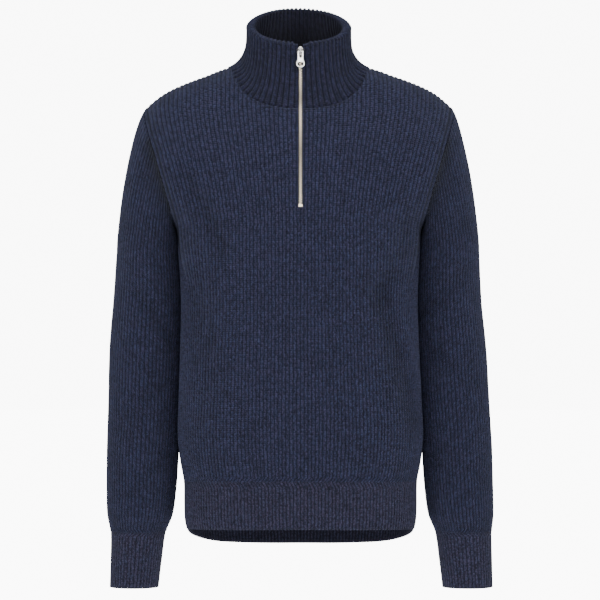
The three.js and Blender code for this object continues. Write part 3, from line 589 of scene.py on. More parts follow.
def makeSleeve(side, name):
    columns = sleeve["ribs"] * knit["columnsPerRib"]
    part = np.arange(columns + 1) / columns
    loop = armholeLoop(side)
    start, startNormal, away = alongLoop(loop, part)
    start[-1], startNormal[-1], away[-1] = start[0], startNormal[0], away[0]
    crown = sleeve["crown"]
    height = smooth(-225, body["armZ"] + 10, start[:, 2])[:, None]
    share = crown["share"] * smooth(crown["fromZ"], crown["toZ"], start[:, 2])[:, None]
    lean = np.array(sleeve["underarmLean"], float) * (side, 1, 1)
    down = np.array([side * (crown["left"] if side < 0 else crown["right"]), 0, crown["down"]])
    # the sleeve sinks in just beyond the seam, less so over the shoulder
    sink = sleeve["valley"] * height * (1 - 0.8 * smooth(-120, -66, start[:, 2])[:, None])
    go = unit((lean * (1 - height) + (away - startNormal * sink) * height) * (1 - share) + down * share)
    start = start - away * knit["lap"]
    end = tubePoints(side, np.full(columns + 1, float(sleeve["topZ"])), part)
    far = np.linalg.norm(end - start, axis=1, keepdims=True)
    pull = sleeve["underarmPull"] * (1 - height) + far * sleeve["startPull"] * height
    goEnd = np.array([0, 0, -1.0]) * far * sleeve["endPull"]
    cap = [hermite(start, go * pull, end, goEnd, t) for t in np.linspace(0, 1, sleeve["capRows"] + 1) ** 1.25]
    low = sleeve["bottomZ"] + 6
    heights = np.concatenate([np.linspace(sleeve["topZ"], low, sleeve["tubeRows"] - 5)[1:],
                              np.linspace(low, sleeve["bottomZ"], 7)[1:]])
    tube = [tubePoints(side, np.full(columns + 1, z), part) for z in heights]
    points = besideBody(side, np.array(cap + tube), 2.2)
    normals = gridNormals(points, closed=True) * -side
    mix = np.linspace(0, 1, 6)[:5, None, None]
    normals[:5] = unit(startNormal[None] * (1 - mix) + normals[:5] * mix)
    ribs = part[None, :] * sleeve["ribs"]
    mirrored = np.minimum(ribs, sleeve["ribs"] - ribs)
    rise = 0.28 * wobble(mirrored, points[..., 2], 6 + side)
    ribs = ribs + rackedRibs(points[..., 2] - sleeve["bottomZ"], 0.75)
    ribs = ribs + 0.1 * wobble(mirrored * 0.7, points[..., 2] * 1.4, 16 + side)
    rise = rise + ribShape(ribs) * knit["rib"] + sleeveFolds(side, points)
    points = points + normals * rise[..., None]
    tuck(points, normals, 0, slice(None))
    tuck(points, normals, -1, slice(None), 0.25)
    steps = np.linalg.norm(np.diff(points, axis=0), axis=2)
    fromSeam = np.concatenate([np.zeros((1, columns + 1)), np.cumsum(steps, axis=0)])
    uv = np.stack([ribs, fromSeam / -knit["course"]], axis=2)
    # painted shade: the sleeve's colour is darkened just beyond the armhole, where the body's edge would
    # shade it, and along its creases; crease ridges are painted lighter
    paintedEdgeShade = 0.9 * (1 - smooth(-118, -82, start[:, 2])) * np.exp(-(fromSeam / 26) ** 1.2)
    shade = (1 - paintedEdgeShade) * np.clip(1 + 0.05 * sleeveFolds(side, points), 0.7, 1.1)
    piece = clothMesh(name, points, uv, closed=True, shade=shade)
    faceOutward(piece, lambda p: (side * 0.226, 0.02, p.z - 0.03))
    return piece


def makeCuff(side, name):
    columns = sleeve["cuffRibs"] * knit["columnsPerRib"]
    part = np.arange(columns + 1) / columns
    heights = bandHeights(sleeve["cuffBottomZ"], sleeve["cuffTopZ"])[::-1]
    points = np.array([tubePoints(side, np.full(columns + 1, z), part) for z in heights])
    normals = gridNormals(points, closed=True) * -side
    ribs = part[None, :] * sleeve["cuffRibs"] + rackedRibs(heights[:, None] - sleeve["cuffTopZ"], 0.75)
    points = points + normals * (ribShape(ribs) * sleeve["cuffRib"])[..., None]
    tuck(points, normals, 0, slice(None), 0.25)
    uv = np.stack(np.broadcast_arrays(ribs, heights[:, None] / hem["course"]), axis=2)
    piece = clothMesh(name, points, uv, closed=True)
    faceOutward(piece, lambda p: (side * 0.238, 0.002, p.z))
    return piece


sleeveRight = makeSleeve(1, "sleeveKnitRightOfPhoto")
sleeveLeft = makeSleeve(-1, "sleeveKnitLeftOfPhoto")
cuffRight = makeCuff(1, "cuffKnitRightOfPhoto")
cuffLeft = makeCuff(-1, "cuffKnitLeftOfPhoto")
print("sleeves and cuffs knitted")


# collar: one double knit band folded over at the top
collar = {
    "ribs": 68, "outerRows": 26, "capRows": 8, "rib": 2.3, "innerRib": 1.9,
    "x": -5, "width": 74, "front": 76, "back": 74, "frontZ": 27, "backZ": 90, "pullLow": 62, "pullHigh": 118,
    "cap": 4.2, "wallParts": [0, 0.18, 0.45, 0.75, 1], "wall": [2.6, 4.2, 6.4, 8.6, 9.6],
}


def necklineLoop():
    shoulderTip = [32.3, 32.6, 32.85, 33.05, 33.13]
    us = np.concatenate([np.arange(0, 29, 2), np.arange(29, 32.01, 0.5), shoulderTip]) / 96
    stations = [bodyFrame("front", u, topZ("front", u)) for u in us]
    stations += [bodyFrame("back", u, topZ("back", u)) for u in us[:-1][::-1]]
    stations += [bodyFrame("back", -u, topZ("back", u)) for u in us[1:]]
    stations += [bodyFrame("front", -u, topZ("front", u)) for u in us[1:-1][::-1]]
    return edgeLoop(stations, lambda p: np.stack([-p[:, 0], -p[:, 1], np.full(len(p), 60.0)], axis=1))


neckLoop = necklineLoop()


def collarPoints(part, t):
    start, normal, away = alongLoop(neckLoop, part)
    start = start - away * knit["lap"]
    angle = part * 2 * math.pi
    turn = np.cos(angle)
    depth = np.where(turn > 0, collar["front"], collar["back"])
    end = np.stack([collar["x"] * (1 - turn) / 2 + collar["width"] * np.sin(angle), -depth * turn,
                    collar["frontZ"] + (collar["backZ"] - collar["frontZ"]) * (1 - turn) / 2], axis=-1)
    upward = np.array([0, 0, 1.0]) * collar["pullHigh"]
    return hermite(start, away * collar["pullLow"], end, upward, t), normal


def makeCollar():
    columns = collar["ribs"] * knit["columnsPerRib"]
    part = np.arange(columns + 1) / columns
    ts = np.linspace(0, 1, collar["outerRows"] + 1)
    base = np.array([collarPoints(part, t)[0] for t in ts])
    base[:, -1] = base[:, 0]
    normals = gridNormals(base, closed=True)
    ribs = part[None, :] * collar["ribs"]
    beside = zipFade(base)
    outer = base + normals * (ribShape(ribs) * collar["rib"] * beside)[..., None]
    wall = np.interp(ts, collar["wallParts"], collar["wall"])[:, None, None]
    inner = base - normals * (wall + (ribShape(ribs + 0.5) * collar["innerRib"] * beside)[..., None])
    cap = []
    for a in np.linspace(0, math.pi, collar["capRows"] + 1)[1:-1]:
        lift = ribShape(ribs[0] + 0.5 * (a / math.pi)) * collar["rib"] * 1.5 * beside[-1]
        centre = base[-1] - normals[-1] * wall[-1] / 2
        sideways = normals[-1] * (math.cos(a) * (wall[-1] / 2 + lift[:, None]))
        height = math.sin(a) * (collar["cap"] + lift[:, None])
        cap.append(centre + sideways + np.array([0, 0, 1.0]) * height)
    tuck(outer, normals, 0, slice(None))
    points = np.concatenate([outer, np.array(cap), inner[::-1], outer[:1]])
    steps = np.linalg.norm(np.diff(points, axis=0), axis=2)
    courses = np.concatenate([np.zeros((1, columns + 1)), np.cumsum(steps, axis=0)]) / knit["course"]
    halfRib = np.concatenate([np.zeros(len(outer)), np.linspace(0, 0.5, len(cap)),
                              np.full(len(inner), 0.5), [0]])
    uv = np.stack([ribs + halfRib[:, None], courses], axis=2)

    def openFront(bm):
        cutSlit(bm)
        edges = [e for e in bm.edges if e.is_boundary]
        bmesh.ops.holes_fill(bm, edges=edges, sides=0)

    piece = clothMesh("collarKnit", points, uv, closed=True, cuts=openFront, wall=None)
    bm = bmesh.new()
    bm.from_mesh(piece.data)
    bmesh.ops.recalc_face_normals(bm, faces=bm.faces)
    bm.to_mesh(piece.data)
    bm.free()
    return piece


collarPiece = makeCollar()
print("collar knitted")


# zip: tapes, teeth, stop, slider and pull
zipper = {
    "pitch": 3.5, "toothLength": 2.6, "toothTall": 1.45, "toothDeep": 2.0, "overlap": 0.3, "toothBack": 2.1,
    "tapeInner": 1.2, "tapeOuter": 14, "tapeCollar": 3.3, "tapeFront": 2.3, "tapeThick": 0.6,
    "bottomZ": -198.2, "sliderZ": 20, "tail": 9,
}


def zipStations():
    points = [bodyPoints("front", np.array([0.0]), np.array([z]))[0]
              for z in np.arange(slit["bottomZ"] - 12, body["tipZ"] + 0.1, 4)]
    points += [collarPoints(np.array([0.0]), t)[0][0] for t in np.linspace(0.05, 1, 24)]
    points = np.array(points)
    up = unit(np.gradient(points, axis=0))
    out = unit(np.cross(np.array([1.0, 0, 0])[None, :], up))
    return points, up, out


zipPoints, zipUp, zipOut = zipStations()


def zipAt(z):
    read = lambda values: np.array([np.interp(z, zipPoints[:, 2], values[:, k]) for k in range(3)])
    return read(zipPoints), unit(read(zipUp)), unit(read(zipOut))


# matrix of the zip's own frame at a height: across, up the zip, out of the cloth
def zipMatrix(z):
    point, up, out = zipAt(z)
    matrix = Matrix(((1, up[0], out[0]), (0, up[1], out[1]), (0, up[2], out[2]))).to_4x4()
    matrix.translation = Vector(point * mm)
    return matrix


def finishMesh(name, bm, smoothFaces=True):
    mesh = bpy.data.meshes.new(name)
    bm.to_mesh(mesh)
    bm.free()
    if smoothFaces:
        mesh.polygons.foreach_set("use_smooth", np.ones(len(mesh.polygons), bool))
    piece = bpy.data.objects.new(name, mesh)
    bpy.context.scene.collection.objects.link(piece)
    return piece


def makeTape(side, name):
    heights = np.arange(slit["bottomZ"] - zipper["tail"], collar["frontZ"] - 2, 2.5)
    frames = [zipAt(z) for z in heights]
    point = np.array([f[0] for f in frames])[:, None, :]
    out = np.array([f[2] for f in frames])[:, None, :]
    across = np.linspace(0, 1, 9)[None, :]
    reach = np.where(heights < body["tipZ"] - 3, zipper["tapeOuter"], zipper["tapeCollar"])[:, None]
    x = zipper["tapeInner"] + (reach - zipper["tapeInner"]) * across
    points = point + np.array([1.0, 0, 0]) * (side * x)[..., None] - out * zipper["tapeFront"]
    uv = np.stack(np.broadcast_arrays(side * x, heights[:, None]), axis=2)
    piece = clothMesh(name, points, uv, wall=zipper["tapeThick"])
    faceOutward(piece, lambda p: (p.x, 0.2, p.z))
    return piece


def makeTeeth(side, name):
    bm = bmesh.new()
    shift = 0 if side < 0 else zipper["pitch"] / 2
    topOfChain = zipper["sliderZ"] + 3
    for z in np.arange(zipper["bottomZ"] + 1 + shift, topOfChain, zipper["pitch"]):
        sizes = [zipper[name] * mm for name in ("toothLength", "toothTall", "toothDeep")]
        size = Matrix.Diagonal((*sizes, 1))
        middle = side * (zipper["toothLength"] / 2 - zipper["overlap"])
        place = Matrix.Translation((middle * mm, 0, -zipper["toothBack"] / 2 * mm))
        tooth = bmesh.ops.create_cube(bm, size=1, matrix=zipMatrix(z) @ place @ size)
        # the head is a little thicker than the jaws on the tape
        for v in tooth["verts"]:
            local = zipMatrix(z).inverted() @ v.co
            if local.x * side < middle * side * mm:
                v.co += (v.co - zipMatrix(z) @ Vector((local.x, 0, local.z))) * 0.18
    bmesh.ops.bevel(bm, geom=list(bm.edges), offset=0.22 * mm, segments=1, affect="EDGES",
                    profile=0.5, material=-1)
    return finishMesh(name, bm, smoothFaces=False)


# a plate with rounded edges, cut from flat outlines in the zip's frame: a rim, then its holes
def plate(bm, matrix, outlines, back, front, soften):
    flat = bpy.data.curves.new("plateOutline", "CURVE")
    flat.dimensions = "2D"
    flat.fill_mode = "BOTH"
    flat.extrude = ((front - back) / 2 - soften) * mm
    flat.bevel_depth = soften * mm
    flat.bevel_resolution = 2
    flat.offset = -soften * mm
    for outline in outlines:
        spline = flat.splines.new("POLY")
        spline.points.add(len(outline) - 1)
        for point, (x, y) in zip(spline.points, outline):
            point.co = (x * mm, y * mm, 0, 1)
        spline.use_cyclic_u = True
    holder = bpy.data.objects.new("plateOutline", flat)
    bpy.context.scene.collection.objects.link(holder)
    mesh = bpy.data.meshes.new_from_object(holder.evaluated_get(bpy.context.evaluated_depsgraph_get()))
    mesh.transform(matrix @ Matrix.Translation((0, 0, (front + back) / 2 * mm)))
    bm.from_mesh(mesh)
    bpy.data.objects.remove(holder)
    bpy.data.curves.remove(flat)
    bpy.data.meshes.remove(mesh)


def arc(cx, cy, wide, tall, start, end, steps):
    return [(cx + wide * math.cos(math.radians(a)), cy + tall * math.sin(math.radians(a)))
            for a in np.linspace(start, end, steps)]


slider = {
    "front": (0.5, 2.1), "back": (-4.4, -3.2), "bridgeHalf": 1.3, "bridgeTop": 6.2, "bridgeUnder": 5.0,
    "pullFront": 4.2, "pullBack": 2.8, "feet": (3.4, 5.6),
}


def makeSlider():
    matrix = zipMatrix(zipper["sliderZ"])
    bm = bmesh.new()
    crown = arc(0, 5.0, 2.9, 2.4, 20, 160, 9) + arc(-3.9, 2.6, 1.3, 1.5, 110, 190, 6) + [(-4.3, -7)]
    crown += arc(-3.3, -7.2, 1, 0.8, 200, 270, 4) + arc(3.3, -7.2, 1, 0.8, 270, 340, 4) + [(4.3, -7)]
    crown += arc(3.9, 2.6, 1.3, 1.5, -10, 70, 6)
    plate(bm, matrix, [crown], *slider["front"], 0.35)
    narrow = [(-3.0, -7.6), (3.0, -7.6), (3.2, 4.5), (1.5, 7.2), (-1.5, 7.2), (-3.2, 4.5)]
    plate(bm, matrix, [narrow], *slider["back"], 0.25)
    plate(bm, matrix, [[(-1.2, 4.2), (1.2, 4.2), (1.2, 6.4), (-1.2, 6.4)]], -3.4, 0.7, 0.1)
    dome = matrix @ Matrix.Translation((0, 4.5 * mm, 1.7 * mm)) @ Matrix.Diagonal((3.3, 2.5, 1.3, 1000)) * mm
    dome[3][3] = 1
    bmesh.ops.create_uvsphere(bm, u_segments=24, v_segments=12, radius=1, matrix=dome)
    # the bridge is drawn from the side: along the zip, then out of the cloth
    turn = matrix @ Matrix(((0, 0, 1, 0), (1, 0, 0, 0), (0, 1, 0, 0), (0, 0, 0, 1)))
    near, far = slider["feet"]
    top, under = slider["bridgeTop"], slider["bridgeUnder"]
    corner = {"wide": 1.9, "tall": 2.2}
    nearCorner = arc(far - corner["wide"], top - corner["tall"], corner["wide"], corner["tall"], 0, 90, 6)
    farCorner = arc(corner["wide"] - far, top - corner["tall"], corner["wide"], corner["tall"], 90, 180, 6)
    arch = [(far, 1.8)] + nearCorner + farCorner
    arch += [(-far, 1.8), (-near, 1.8)] + arc(0.9 - near, under - 0.9, 0.9, 0.9, 180, 90, 4)
    arch += arc(near - 0.9, under - 0.9, 0.9, 0.9, 90, 0, 4) + [(near, 1.8)]
    plate(bm, turn, [arch], -slider["bridgeHalf"], slider["bridgeHalf"], 0.3)
    bmesh.ops.remove_doubles(bm, verts=bm.verts, dist=1e-6)
    bmesh.ops.recalc_face_normals(bm, faces=bm.faces)
    return finishMesh("zipSliderBody", bm)


# the pull: a plate with a window round the bridge and a wide eye at its end
def makePull():
    matrix = zipMatrix(zipper["sliderZ"])
    bm = bmesh.new()
    rim = arc(3.2, -0.3, 1.0, 1.0, 0, 90, 4) + arc(-3.2, -0.3, 1.0, 1.0, 90, 180, 4)
    rim += [(-4.15, -4), (-3.95, -8), (-4.1, -11), (-4.9, -13.6)] + arc(0, -17.4, 6.1, 6.1, 152, 388, 28)
    rim += [(4.9, -13.6), (4.1, -11), (3.95, -8), (4.15, -4)]
    window = arc(0.9, -1.7, 0.9, 0.9, 0, 90, 4) + arc(-0.9, -1.7, 0.9, 0.9, 90, 180, 4)
    window += arc(0, -7.4, 1.8, 1.8, 180, 360, 10)
    eye = arc(0, -18.2, 4.2, 3.0, 0, 345, 24)
    plate(bm, matrix, [rim, window, eye], slider["pullBack"], slider["pullFront"], 0.3)
    bmesh.ops.remove_doubles(bm, verts=bm.verts, dist=1e-6)
    bmesh.ops.recalc_face_normals(bm, faces=bm.faces)
    return finishMesh("zipPullTab", bm)


def makeStop():
    matrix = zipMatrix(slit["bottomZ"] + 2.5)
    bm = bmesh.new()
    plate(bm, matrix, [[(-3, -2.1), (3, -2.1), (3, 2.1), (-3, 2.1)]], -1.9, 0.8, 0.5)
    bmesh.ops.recalc_face_normals(bm, faces=bm.faces)
    return finishMesh("zipBottomStop", bm)


tapeRight = makeTape(1, "zipTapeRightOfPhoto")
tapeLeft = makeTape(-1, "zipTapeLeftOfPhoto")
teethRight = makeTeeth(1, "zipTeethRightOfPhoto")
teethLeft = makeTeeth(-1, "zipTeethLeftOfPhoto")
sliderPiece = makeSlider()
pullPiece = makePull()
stopPiece = makeStop()
print("zip made")


# materials
def link(tree, source, target):
    tree.links.new(source, target)


def mathNode(tree, operation, a, b=None, c=None, clamp=False):
    node = tree.nodes.new("ShaderNodeMath")
    node.operation = operation
    node.use_clamp = clamp
    for index, value in enumerate((a, b, c)):
        if value is None:
            continue
        if isinstance(value, (int, float)):
            node.inputs[index].default_value = value
        else:
            link(tree, value, node.inputs[index])
    return node.outputs[0]


def mixColour(tree, factor, a, b, blend="MIX"):
    node = tree.nodes.new("ShaderNodeMix")
    node.data_type = "RGBA"
    node.blend_type = blend
    for socket, value in ((node.inputs[0], factor), (node.inputs[6], a), (node.inputs[7], b)):
        if isinstance(value, (int, float, tuple)):
            socket.default_value = value
        else:
            link(tree, value, socket)
    return node.outputs[2]


def noiseNode(tree, vector, scale, detail=2.0, roughness=0.5):
    node = tree.nodes.new("ShaderNodeTexNoise")
    node.inputs["Scale"].default_value = scale
    node.inputs["Detail"].default_value = detail
    node.inputs["Roughness"].default_value = roughness
    link(tree, vector, node.inputs["Vector"])
    return node.outputs["Fac"]


def spread(tree, value, low, high, toLow=0.0, toHigh=1.0):
    node = tree.nodes.new("ShaderNodeMapRange")
    for index, number in ((1, low), (2, high), (3, toLow), (4, toHigh)):
        node.inputs[index].default_value = number
    link(tree, value, node.inputs[0])
    return node.outputs[0]


def scaled(tree, vector, x, y, z):
    node = tree.nodes.new("ShaderNodeVectorMath")
    node.operation = "MULTIPLY"
    link(tree, vector, node.inputs[0])
    node.inputs[1].default_value = (x, y, z)
    return node.outputs[0]


# melange wool: flecks of warm and cool fibre, each stitch a tone of its own, and painted shade in the grooves
# between the ribs
def melangeGroup():
    tree = bpy.data.node_groups.new("melangeWool", "ShaderNodeTree")
    for name, kind, value in (("Dark", "NodeSocketColor", (0.02, 0.025, 0.05, 1)),
                              ("Light", "NodeSocketColor", (0.08, 0.09, 0.15, 1)),
                              ("Groove", "NodeSocketFloat", 0.5), ("Stitch", "NodeSocketFloat", 1.0)):
        socket = tree.interface.new_socket(name, in_out="INPUT", socket_type=kind)
        socket.default_value = value
    outputs = (("Color", "NodeSocketColor"), ("Height", "NodeSocketFloat"), ("Roughness", "NodeSocketFloat"))
    for name, kind in outputs:
        tree.interface.new_socket(name, in_out="OUTPUT", socket_type=kind)
    source = tree.nodes.new("NodeGroupInput")
    result = tree.nodes.new("NodeGroupOutput")
    coords = tree.nodes.new("ShaderNodeTexCoord")
    uvMap = tree.nodes.new("ShaderNodeUVMap")
    uvMap.uv_map = "UVMap"
    split = tree.nodes.new("ShaderNodeSeparateXYZ")
    link(tree, uvMap.outputs["UV"], split.inputs[0])
    waleU, courseV = split.outputs["X"], split.outputs["Y"]
    acrossRib = mathNode(tree, "MULTIPLY_ADD", mathNode(tree, "FRACT", waleU), 2.0, -1.0)
    fromBack = mathNode(tree, "ABSOLUTE", acrossRib)
    # rows of stitches: each leans down from the rib's middle to its sides
    leaned = mathNode(tree, "ADD", courseV, mathNode(tree, "MULTIPLY", fromBack, 0.5))
    bulge = mathNode(tree, "SINE", mathNode(tree, "MULTIPLY", mathNode(tree, "FRACT", leaned), math.pi))
    bulge = mathNode(tree, "POWER", bulge, 0.7)
    cell = tree.nodes.new("ShaderNodeCombineXYZ")
    link(tree, mathNode(tree, "FLOOR", mathNode(tree, "MULTIPLY", waleU, 2.0)), cell.inputs[0])
    link(tree, mathNode(tree, "FLOOR", leaned), cell.inputs[1])
    own = tree.nodes.new("ShaderNodeTexWhiteNoise")
    own.noise_dimensions = "2D"
    link(tree, cell.outputs[0], own.inputs["Vector"])
    objectSpace = coords.outputs["Object"]
    fibre = noiseNode(tree, objectSpace, 1000, 2, 0.6)
    fleck = noiseNode(tree, scaled(tree, objectSpace, 1, 1, 0.6), 700, 2, 0.6)
    hue = noiseNode(tree, scaled(tree, objectSpace, 1, 1, 0.4), 330, 1, 0.5)
    mottle = noiseNode(tree, objectSpace, 34, 3, 0.6)
    tone = mathNode(tree, "MULTIPLY_ADD", spread(tree, fleck, 0.36, 0.64), 0.55,
                    mathNode(tree, "MULTIPLY", own.outputs["Value"], 0.35))
    tone = mathNode(tree, "MULTIPLY_ADD", spread(tree, fibre, 0.35, 0.65), 0.15, tone)
    tone = mathNode(tree, "MULTIPLY_ADD", mottle, 0.15, tone)
    tone = mathNode(tree, "POWER", tone, 1.5)
    colour = mixColour(tree, tone, source.outputs["Dark"], source.outputs["Light"])
    warm = mixColour(tree, 1.0, colour, (1.08, 0.985, 0.975, 1), "MULTIPLY")
    cool = mixColour(tree, 1.0, colour, (0.93, 1.02, 1.03, 1), "MULTIPLY")
    colour = mixColour(tree, spread(tree, hue, 0.42, 0.58), warm, cool)
    # painted shade: the grooves between the ribs and the edges of each stitch loop are darkened towards near
    # black, as strongly as the Groove input says
    groove = mathNode(tree, "POWER", fromBack, 2.6)
    shadeLoop = mathNode(tree, "MULTIPLY", mathNode(tree, "SUBTRACT", 1.0, bulge), 0.55)
    dark = mathNode(tree, "MULTIPLY", mathNode(tree, "MAXIMUM", groove, shadeLoop), source.outputs["Groove"])
    colour = mixColour(tree, dark, colour, (0.0015, 0.002, 0.006, 1))
    # painted shading from the mesh's shade attribute: darker in fold troughs and beside the armholes, lighter
    # on fold ridges
    paintedShadeNode = tree.nodes.new("ShaderNodeAttribute")
    paintedShadeNode.attribute_name = "shade"
    colour = mixColour(tree, 1.0, colour, paintedShadeNode.outputs["Fac"], "MULTIPLY")
    height = mathNode(tree, "MULTIPLY", bulge, source.outputs["Stitch"])
    height = mathNode(tree, "MULTIPLY_ADD", fibre, 0.7, height)
    height = mathNode(tree, "MULTIPLY_ADD", fleck, 0.6, height)
    link(tree, colour, result.inputs["Color"])
    link(tree, height, result.inputs["Height"])
    link(tree, spread(tree, fibre, 0.3, 0.7, 0.82, 0.98), result.inputs["Roughness"])
    return tree


melange = melangeGroup()


def newMaterial(name):
    material = bpy.data.materials.new(name)
    material.use_nodes = True
    tree = material.node_tree
    shader = next(n for n in tree.nodes if n.type == "BSDF_PRINCIPLED")
    return material, tree, shader


def knitMaterial(name, dark, light, groove, stitch, bump, paintedDepthShade=None):
    material, tree, shader = newMaterial(name)
    group = tree.nodes.new("ShaderNodeGroup")
    group.node_tree = melange
    group.inputs["Dark"].default_value = (*dark, 1)
    group.inputs["Light"].default_value = (*light, 1)
    group.inputs["Groove"].default_value = groove
    group.inputs["Stitch"].default_value = stitch
    colour = group.outputs["Color"]
    # painted shade: the colour goes to near black lower down, between the two heights given
    if paintedDepthShade:
        coords = tree.nodes.new("ShaderNodeTexCoord")
        split = tree.nodes.new("ShaderNodeSeparateXYZ")
        link(tree, coords.outputs["Object"], split.inputs[0])
        depth = spread(tree, split.outputs["Z"], *paintedDepthShade)
        colour = mixColour(tree, depth, (0.0004, 0.0004, 0.0010, 1), colour)
    link(tree, colour, shader.inputs["Base Color"])
    link(tree, group.outputs["Roughness"], shader.inputs["Roughness"])
    relief = tree.nodes.new("ShaderNodeBump")
    relief.inputs["Strength"].default_value = 1.0
    relief.inputs["Distance"].default_value = bump
    link(tree, group.outputs["Height"], relief.inputs["Height"])
    link(tree, relief.outputs["Normal"], shader.inputs["Normal"])
    shader.inputs["Sheen Weight"].default_value = 0.10
    shader.inputs["Sheen Roughness"].default_value = 0.5
    shader.inputs["Sheen Tint"].default_value = (0.55, 0.62, 0.85, 1)
    shader.inputs["Specular IOR Level"].default_value = 0.2
    return material


bodyWool = knitMaterial("navyMelangeRib", dark=(0.0024, 0.0028, 0.0086), light=(0.0425, 0.0465, 0.1080),
                        groove=0.94, stitch=1.0, bump=0.0007)
bandWool = knitMaterial("navyMelangeBand", dark=(0.0036, 0.0036, 0.0088), light=(0.0530, 0.0520, 0.1060),
                        groove=0.92, stitch=0.8, bump=0.0006)
# painted shade: a darker copy of the same wool for the collar's outer face
collarPaintedShadeWool = knitMaterial("navyMelangeCollar", dark=(0.0010, 0.0013, 0.0042), light=(0.0290, 0.0305, 0.0760),
                          groove=1.0, stitch=1.0, bump=0.0009)
# painted shade: a darker copy of the wool for the collar's inner side and the hollow of the neck, fading to
# near black lower down
paintedShadeWool = knitMaterial("navyMelangeShade", dark=(0.0012, 0.0012, 0.0036), light=(0.0230, 0.0225, 0.0520),
                          groove=0.95, stitch=1.0, bump=0.0006, paintedDepthShade=(0.030, 0.094))


def tapeMaterial():
    material, tree, shader = newMaterial("zipTapeTwill")
    coords = tree.nodes.new("ShaderNodeTexCoord")
    wave = tree.nodes.new("ShaderNodeTexWave")
    wave.bands_direction = "DIAGONAL"
    wave.inputs["Scale"].default_value = 420
    wave.inputs["Distortion"].default_value = 0.6
    link(tree, coords.outputs["Object"], wave.inputs["Vector"])
    colour = mixColour(tree, wave.outputs["Fac"], (0.010, 0.013, 0.03, 1), (0.028, 0.034, 0.065, 1))
    link(tree, colour, shader.inputs["Base Color"])
    relief = tree.nodes.new("ShaderNodeBump")
    relief.inputs["Distance"].default_value = 0.0002
    link(tree, wave.outputs["Fac"], relief.inputs["Height"])
    link(tree, relief.outputs["Normal"], shader.inputs["Normal"])
    shader.inputs["Roughness"].default_value = 0.85
    return material


def metalMaterial(name, base, polished, worn, scratch):
    material, tree, shader = newMaterial(name)
    coords = tree.nodes.new("ShaderNodeTexCoord")
    grain = noiseNode(tree, coords.outputs["Object"], scratch, 3, 0.6)
    colour = mixColour(tree, spread(tree, grain, 0.35, 0.7), (*base, 1), (*(c * 0.8 for c in base), 1))
    link(tree, colour, shader.inputs["Base Color"])
    link(tree, spread(tree, grain, 0.3, 0.7, polished, worn), shader.inputs["Roughness"])
    shader.inputs["Metallic"].default_value = 1.0
    relief = tree.nodes.new("ShaderNodeBump")
    relief.inputs["Distance"].default_value = 0.00004
    link(tree, grain, relief.inputs["Height"])
    link(tree, relief.outputs["Normal"], shader.inputs["Normal"])
    return material


twill = tapeMaterial()
teethMetal = metalMaterial("warmNickelTeeth", (0.82, 0.71, 0.57), 0.2, 0.38, 900)
sliderMetal = metalMaterial("paleNickelSlider", (0.97, 0.95, 0.92), 0.12, 0.22, 500)
# darker copies of the slider's nickel: painted shade
pocketPaintedShadeMetal = metalMaterial("shadedNickelPocket", (0.10, 0.095, 0.10), 0.3, 0.5, 500)
bridgePaintedShadeMetal = metalMaterial("greyNickelBridge", (0.36, 0.35, 0.35), 0.2, 0.4, 500)


# what each piece rides on, stands for and is cut from
clothPieces = [
    # piece, material, CAD node, flat width and length, area, rests on
    (frontPanel, bodyWool, "front_panel", (0.56, 0.60), 0.27, ["back_panel"]),
    (backPanel, bodyWool, "back_panel", (0.56, 0.62), 0.28, ["front_panel"]),
    (frontHem, bandWool, "hem_band_front", (0.50, 0.07), None, ["front_panel"]),
    (backHem, bandWool, "hem_band_back", (0.50, 0.07), None, ["back_panel"]),
    (sleeveRight, bodyWool, "sleeve_right_of_photo", (0.42, 0.62), 0.20, ["front_panel"]),
    (sleeveLeft, bodyWool, "sleeve_left_of_photo", (0.42, 0.62), 0.20, ["front_panel"]),
    (cuffRight, bandWool, "cuff_right_of_photo", (0.23, 0.081), None, ["sleeve_right_of_photo"]),
    (cuffLeft, bandWool, "cuff_left_of_photo", (0.23, 0.081), None, ["sleeve_left_of_photo"]),
    (collarPiece, collarPaintedShadeWool, "collar", (0.52, 0.11), None, ["front_panel"]),
    (tapeRight, twill, "zip_tape_right_of_photo", (0.0128, 0.245), 0.0024, ["front_panel"]),
    (tapeLeft, twill, "zip_tape_left_of_photo", (0.0128, 0.245), 0.0024, ["front_panel"]),
]
for piece, material, node, flat, area, restsOn in clothPieces:
    piece.data.materials.append(material)
    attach(piece, "garment")
    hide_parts(node)
    if area:
        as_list(restsOn)
    else:
        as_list(restsOn)

# painted light and shade: the collar's inner side and the hollow of the neck take the darker shaded copy of
# the wool, and the rim's upward faces take the body's lighter wool
collarPiece.data.materials.append(paintedShadeWool)
collarPiece.data.materials.append(bodyWool)
for polygon in collarPiece.data.polygons:
    outFrom = polygon.center - Vector((-0.0025, 0.0, polygon.center.z))
    if polygon.normal.z > 0.6 and polygon.center.z > 0.02:
        polygon.material_index = 2
    elif polygon.normal.dot(outFrom.normalized()) < -0.35:
        polygon.material_index = 1

metalPieces = [
    (teethRight, teethMetal, "zip_chain_right_of_photo", "garment"),
    (teethLeft, teethMetal, "zip_chain_left_of_photo", "garment"),
    (stopPiece, teethMetal, "zip_bottom_stop", "garment"),
    (sliderPiece, sliderMetal, "zip_slider", "garment"),
    (pullPiece, sliderMetal, "zip_pull", "pull_tab"),
]
for piece, material, node, rider in metalPieces:
    piece.data.materials.append(material)
    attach(piece, rider)
    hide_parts(node)
# painted shade: the flat of the slider under the pull takes a near black copy of the nickel, and the bridge's
# back a grey copy
for metal in (pocketPaintedShadeMetal, bridgePaintedShadeMetal):
    sliderPiece.data.materials.append(metal)
toZip = zipMatrix(zipper["sliderZ"]).inverted()
for polygon in sliderPiece.data.polygons:
    height = (toZip @ polygon.center).z / mm
    facing = toZip.to_3x3() @ polygon.normal
    if facing.z > 0.9 and abs(height - slider["front"][1]) < 0.15:
        polygon.material_index = 1
    elif facing.z > 0.9 and height > slider["bridgeTop"] - 0.3:
        polygon.material_index = 2


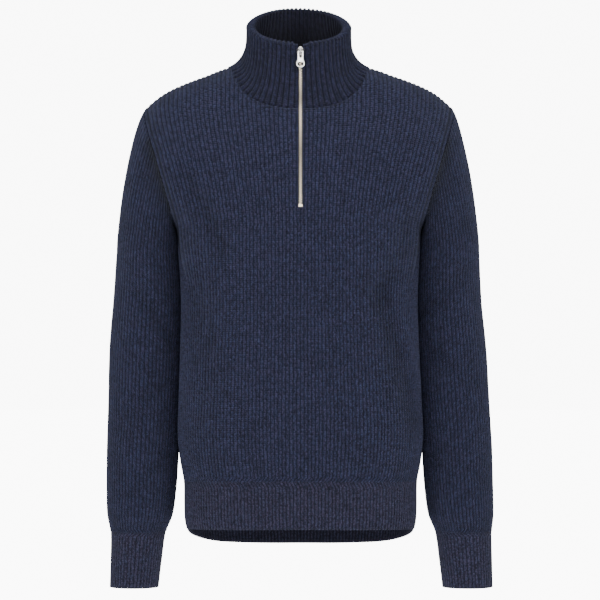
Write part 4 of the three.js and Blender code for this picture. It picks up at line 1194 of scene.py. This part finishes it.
# studio: pale floor and soft lights
studio = {"floorZ": -1.05, "half": 14, "cameraGlow": 9.0, "floorGlow": 0.7, "air": 0.38}


def glowNode(tree, glow):
    rays = tree.nodes.new("ShaderNodeLightPath")
    return mathNode(tree, "MULTIPLY_ADD", rays.outputs["Is Camera Ray"], studio["cameraGlow"], glow)


def makeFloor():
    bm = bmesh.new()
    bmesh.ops.create_grid(bm, x_segments=1, y_segments=1, size=studio["half"],
                          matrix=Matrix.Translation((0, 0, studio["floorZ"])))
    floor = finishMesh("studioFloor", bm, smoothFaces=False)
    material, tree, shader = newMaterial("paleFloor")
    shader.inputs["Base Color"].default_value = (0.92, 0.92, 0.92, 1)
    shader.inputs["Roughness"].default_value = 0.9
    shader.inputs["Emission Color"].default_value = (1, 1, 1, 1)
    link(tree, glowNode(tree, studio["floorGlow"]), shader.inputs["Emission Strength"])
    floor.data.materials.append(material)


def areaLight(name, place, aim, size, power, colour=(1, 1, 1)):
    data = bpy.data.lights.new(name, "AREA")
    data.shape = "RECTANGLE"
    data.size, data.size_y = size
    data.energy = power
    data.color = colour
    lamp = bpy.data.objects.new(name, data)
    lamp.location = place
    lamp.rotation_euler = (Vector(aim) - Vector(place)).to_track_quat("-Z", "Y").to_euler()
    bpy.context.scene.collection.objects.link(lamp)


makeFloor()
areaLight("topSoftbox", (0, -1.2, 2.0), (0, 0, -0.3), (2.2, 1.6), 46)
areaLight("leftSoftbox", (-2.4, -2.2, 0.5), (0, 0, -0.35), (1.0, 2.0), 22)
areaLight("rightSoftbox", (2.4, -2.2, 0.4), (0, 0, -0.35), (1.0, 2.0), 19)
areaLight("frontSoftbox", (0, -5.2, 0.9), (0, 0, -0.3), (2.4, 1.4), 52)
world = bpy.data.worlds.new("studioAir")
world.use_nodes = True
world.node_tree.nodes["Background"].inputs["Color"].default_value = (1, 1, 1, 1)
airGlow = glowNode(world.node_tree, studio["air"])
link(world.node_tree, airGlow, world.node_tree.nodes["Background"].inputs["Strength"])
bpy.context.scene.world = world
print("studio lit")
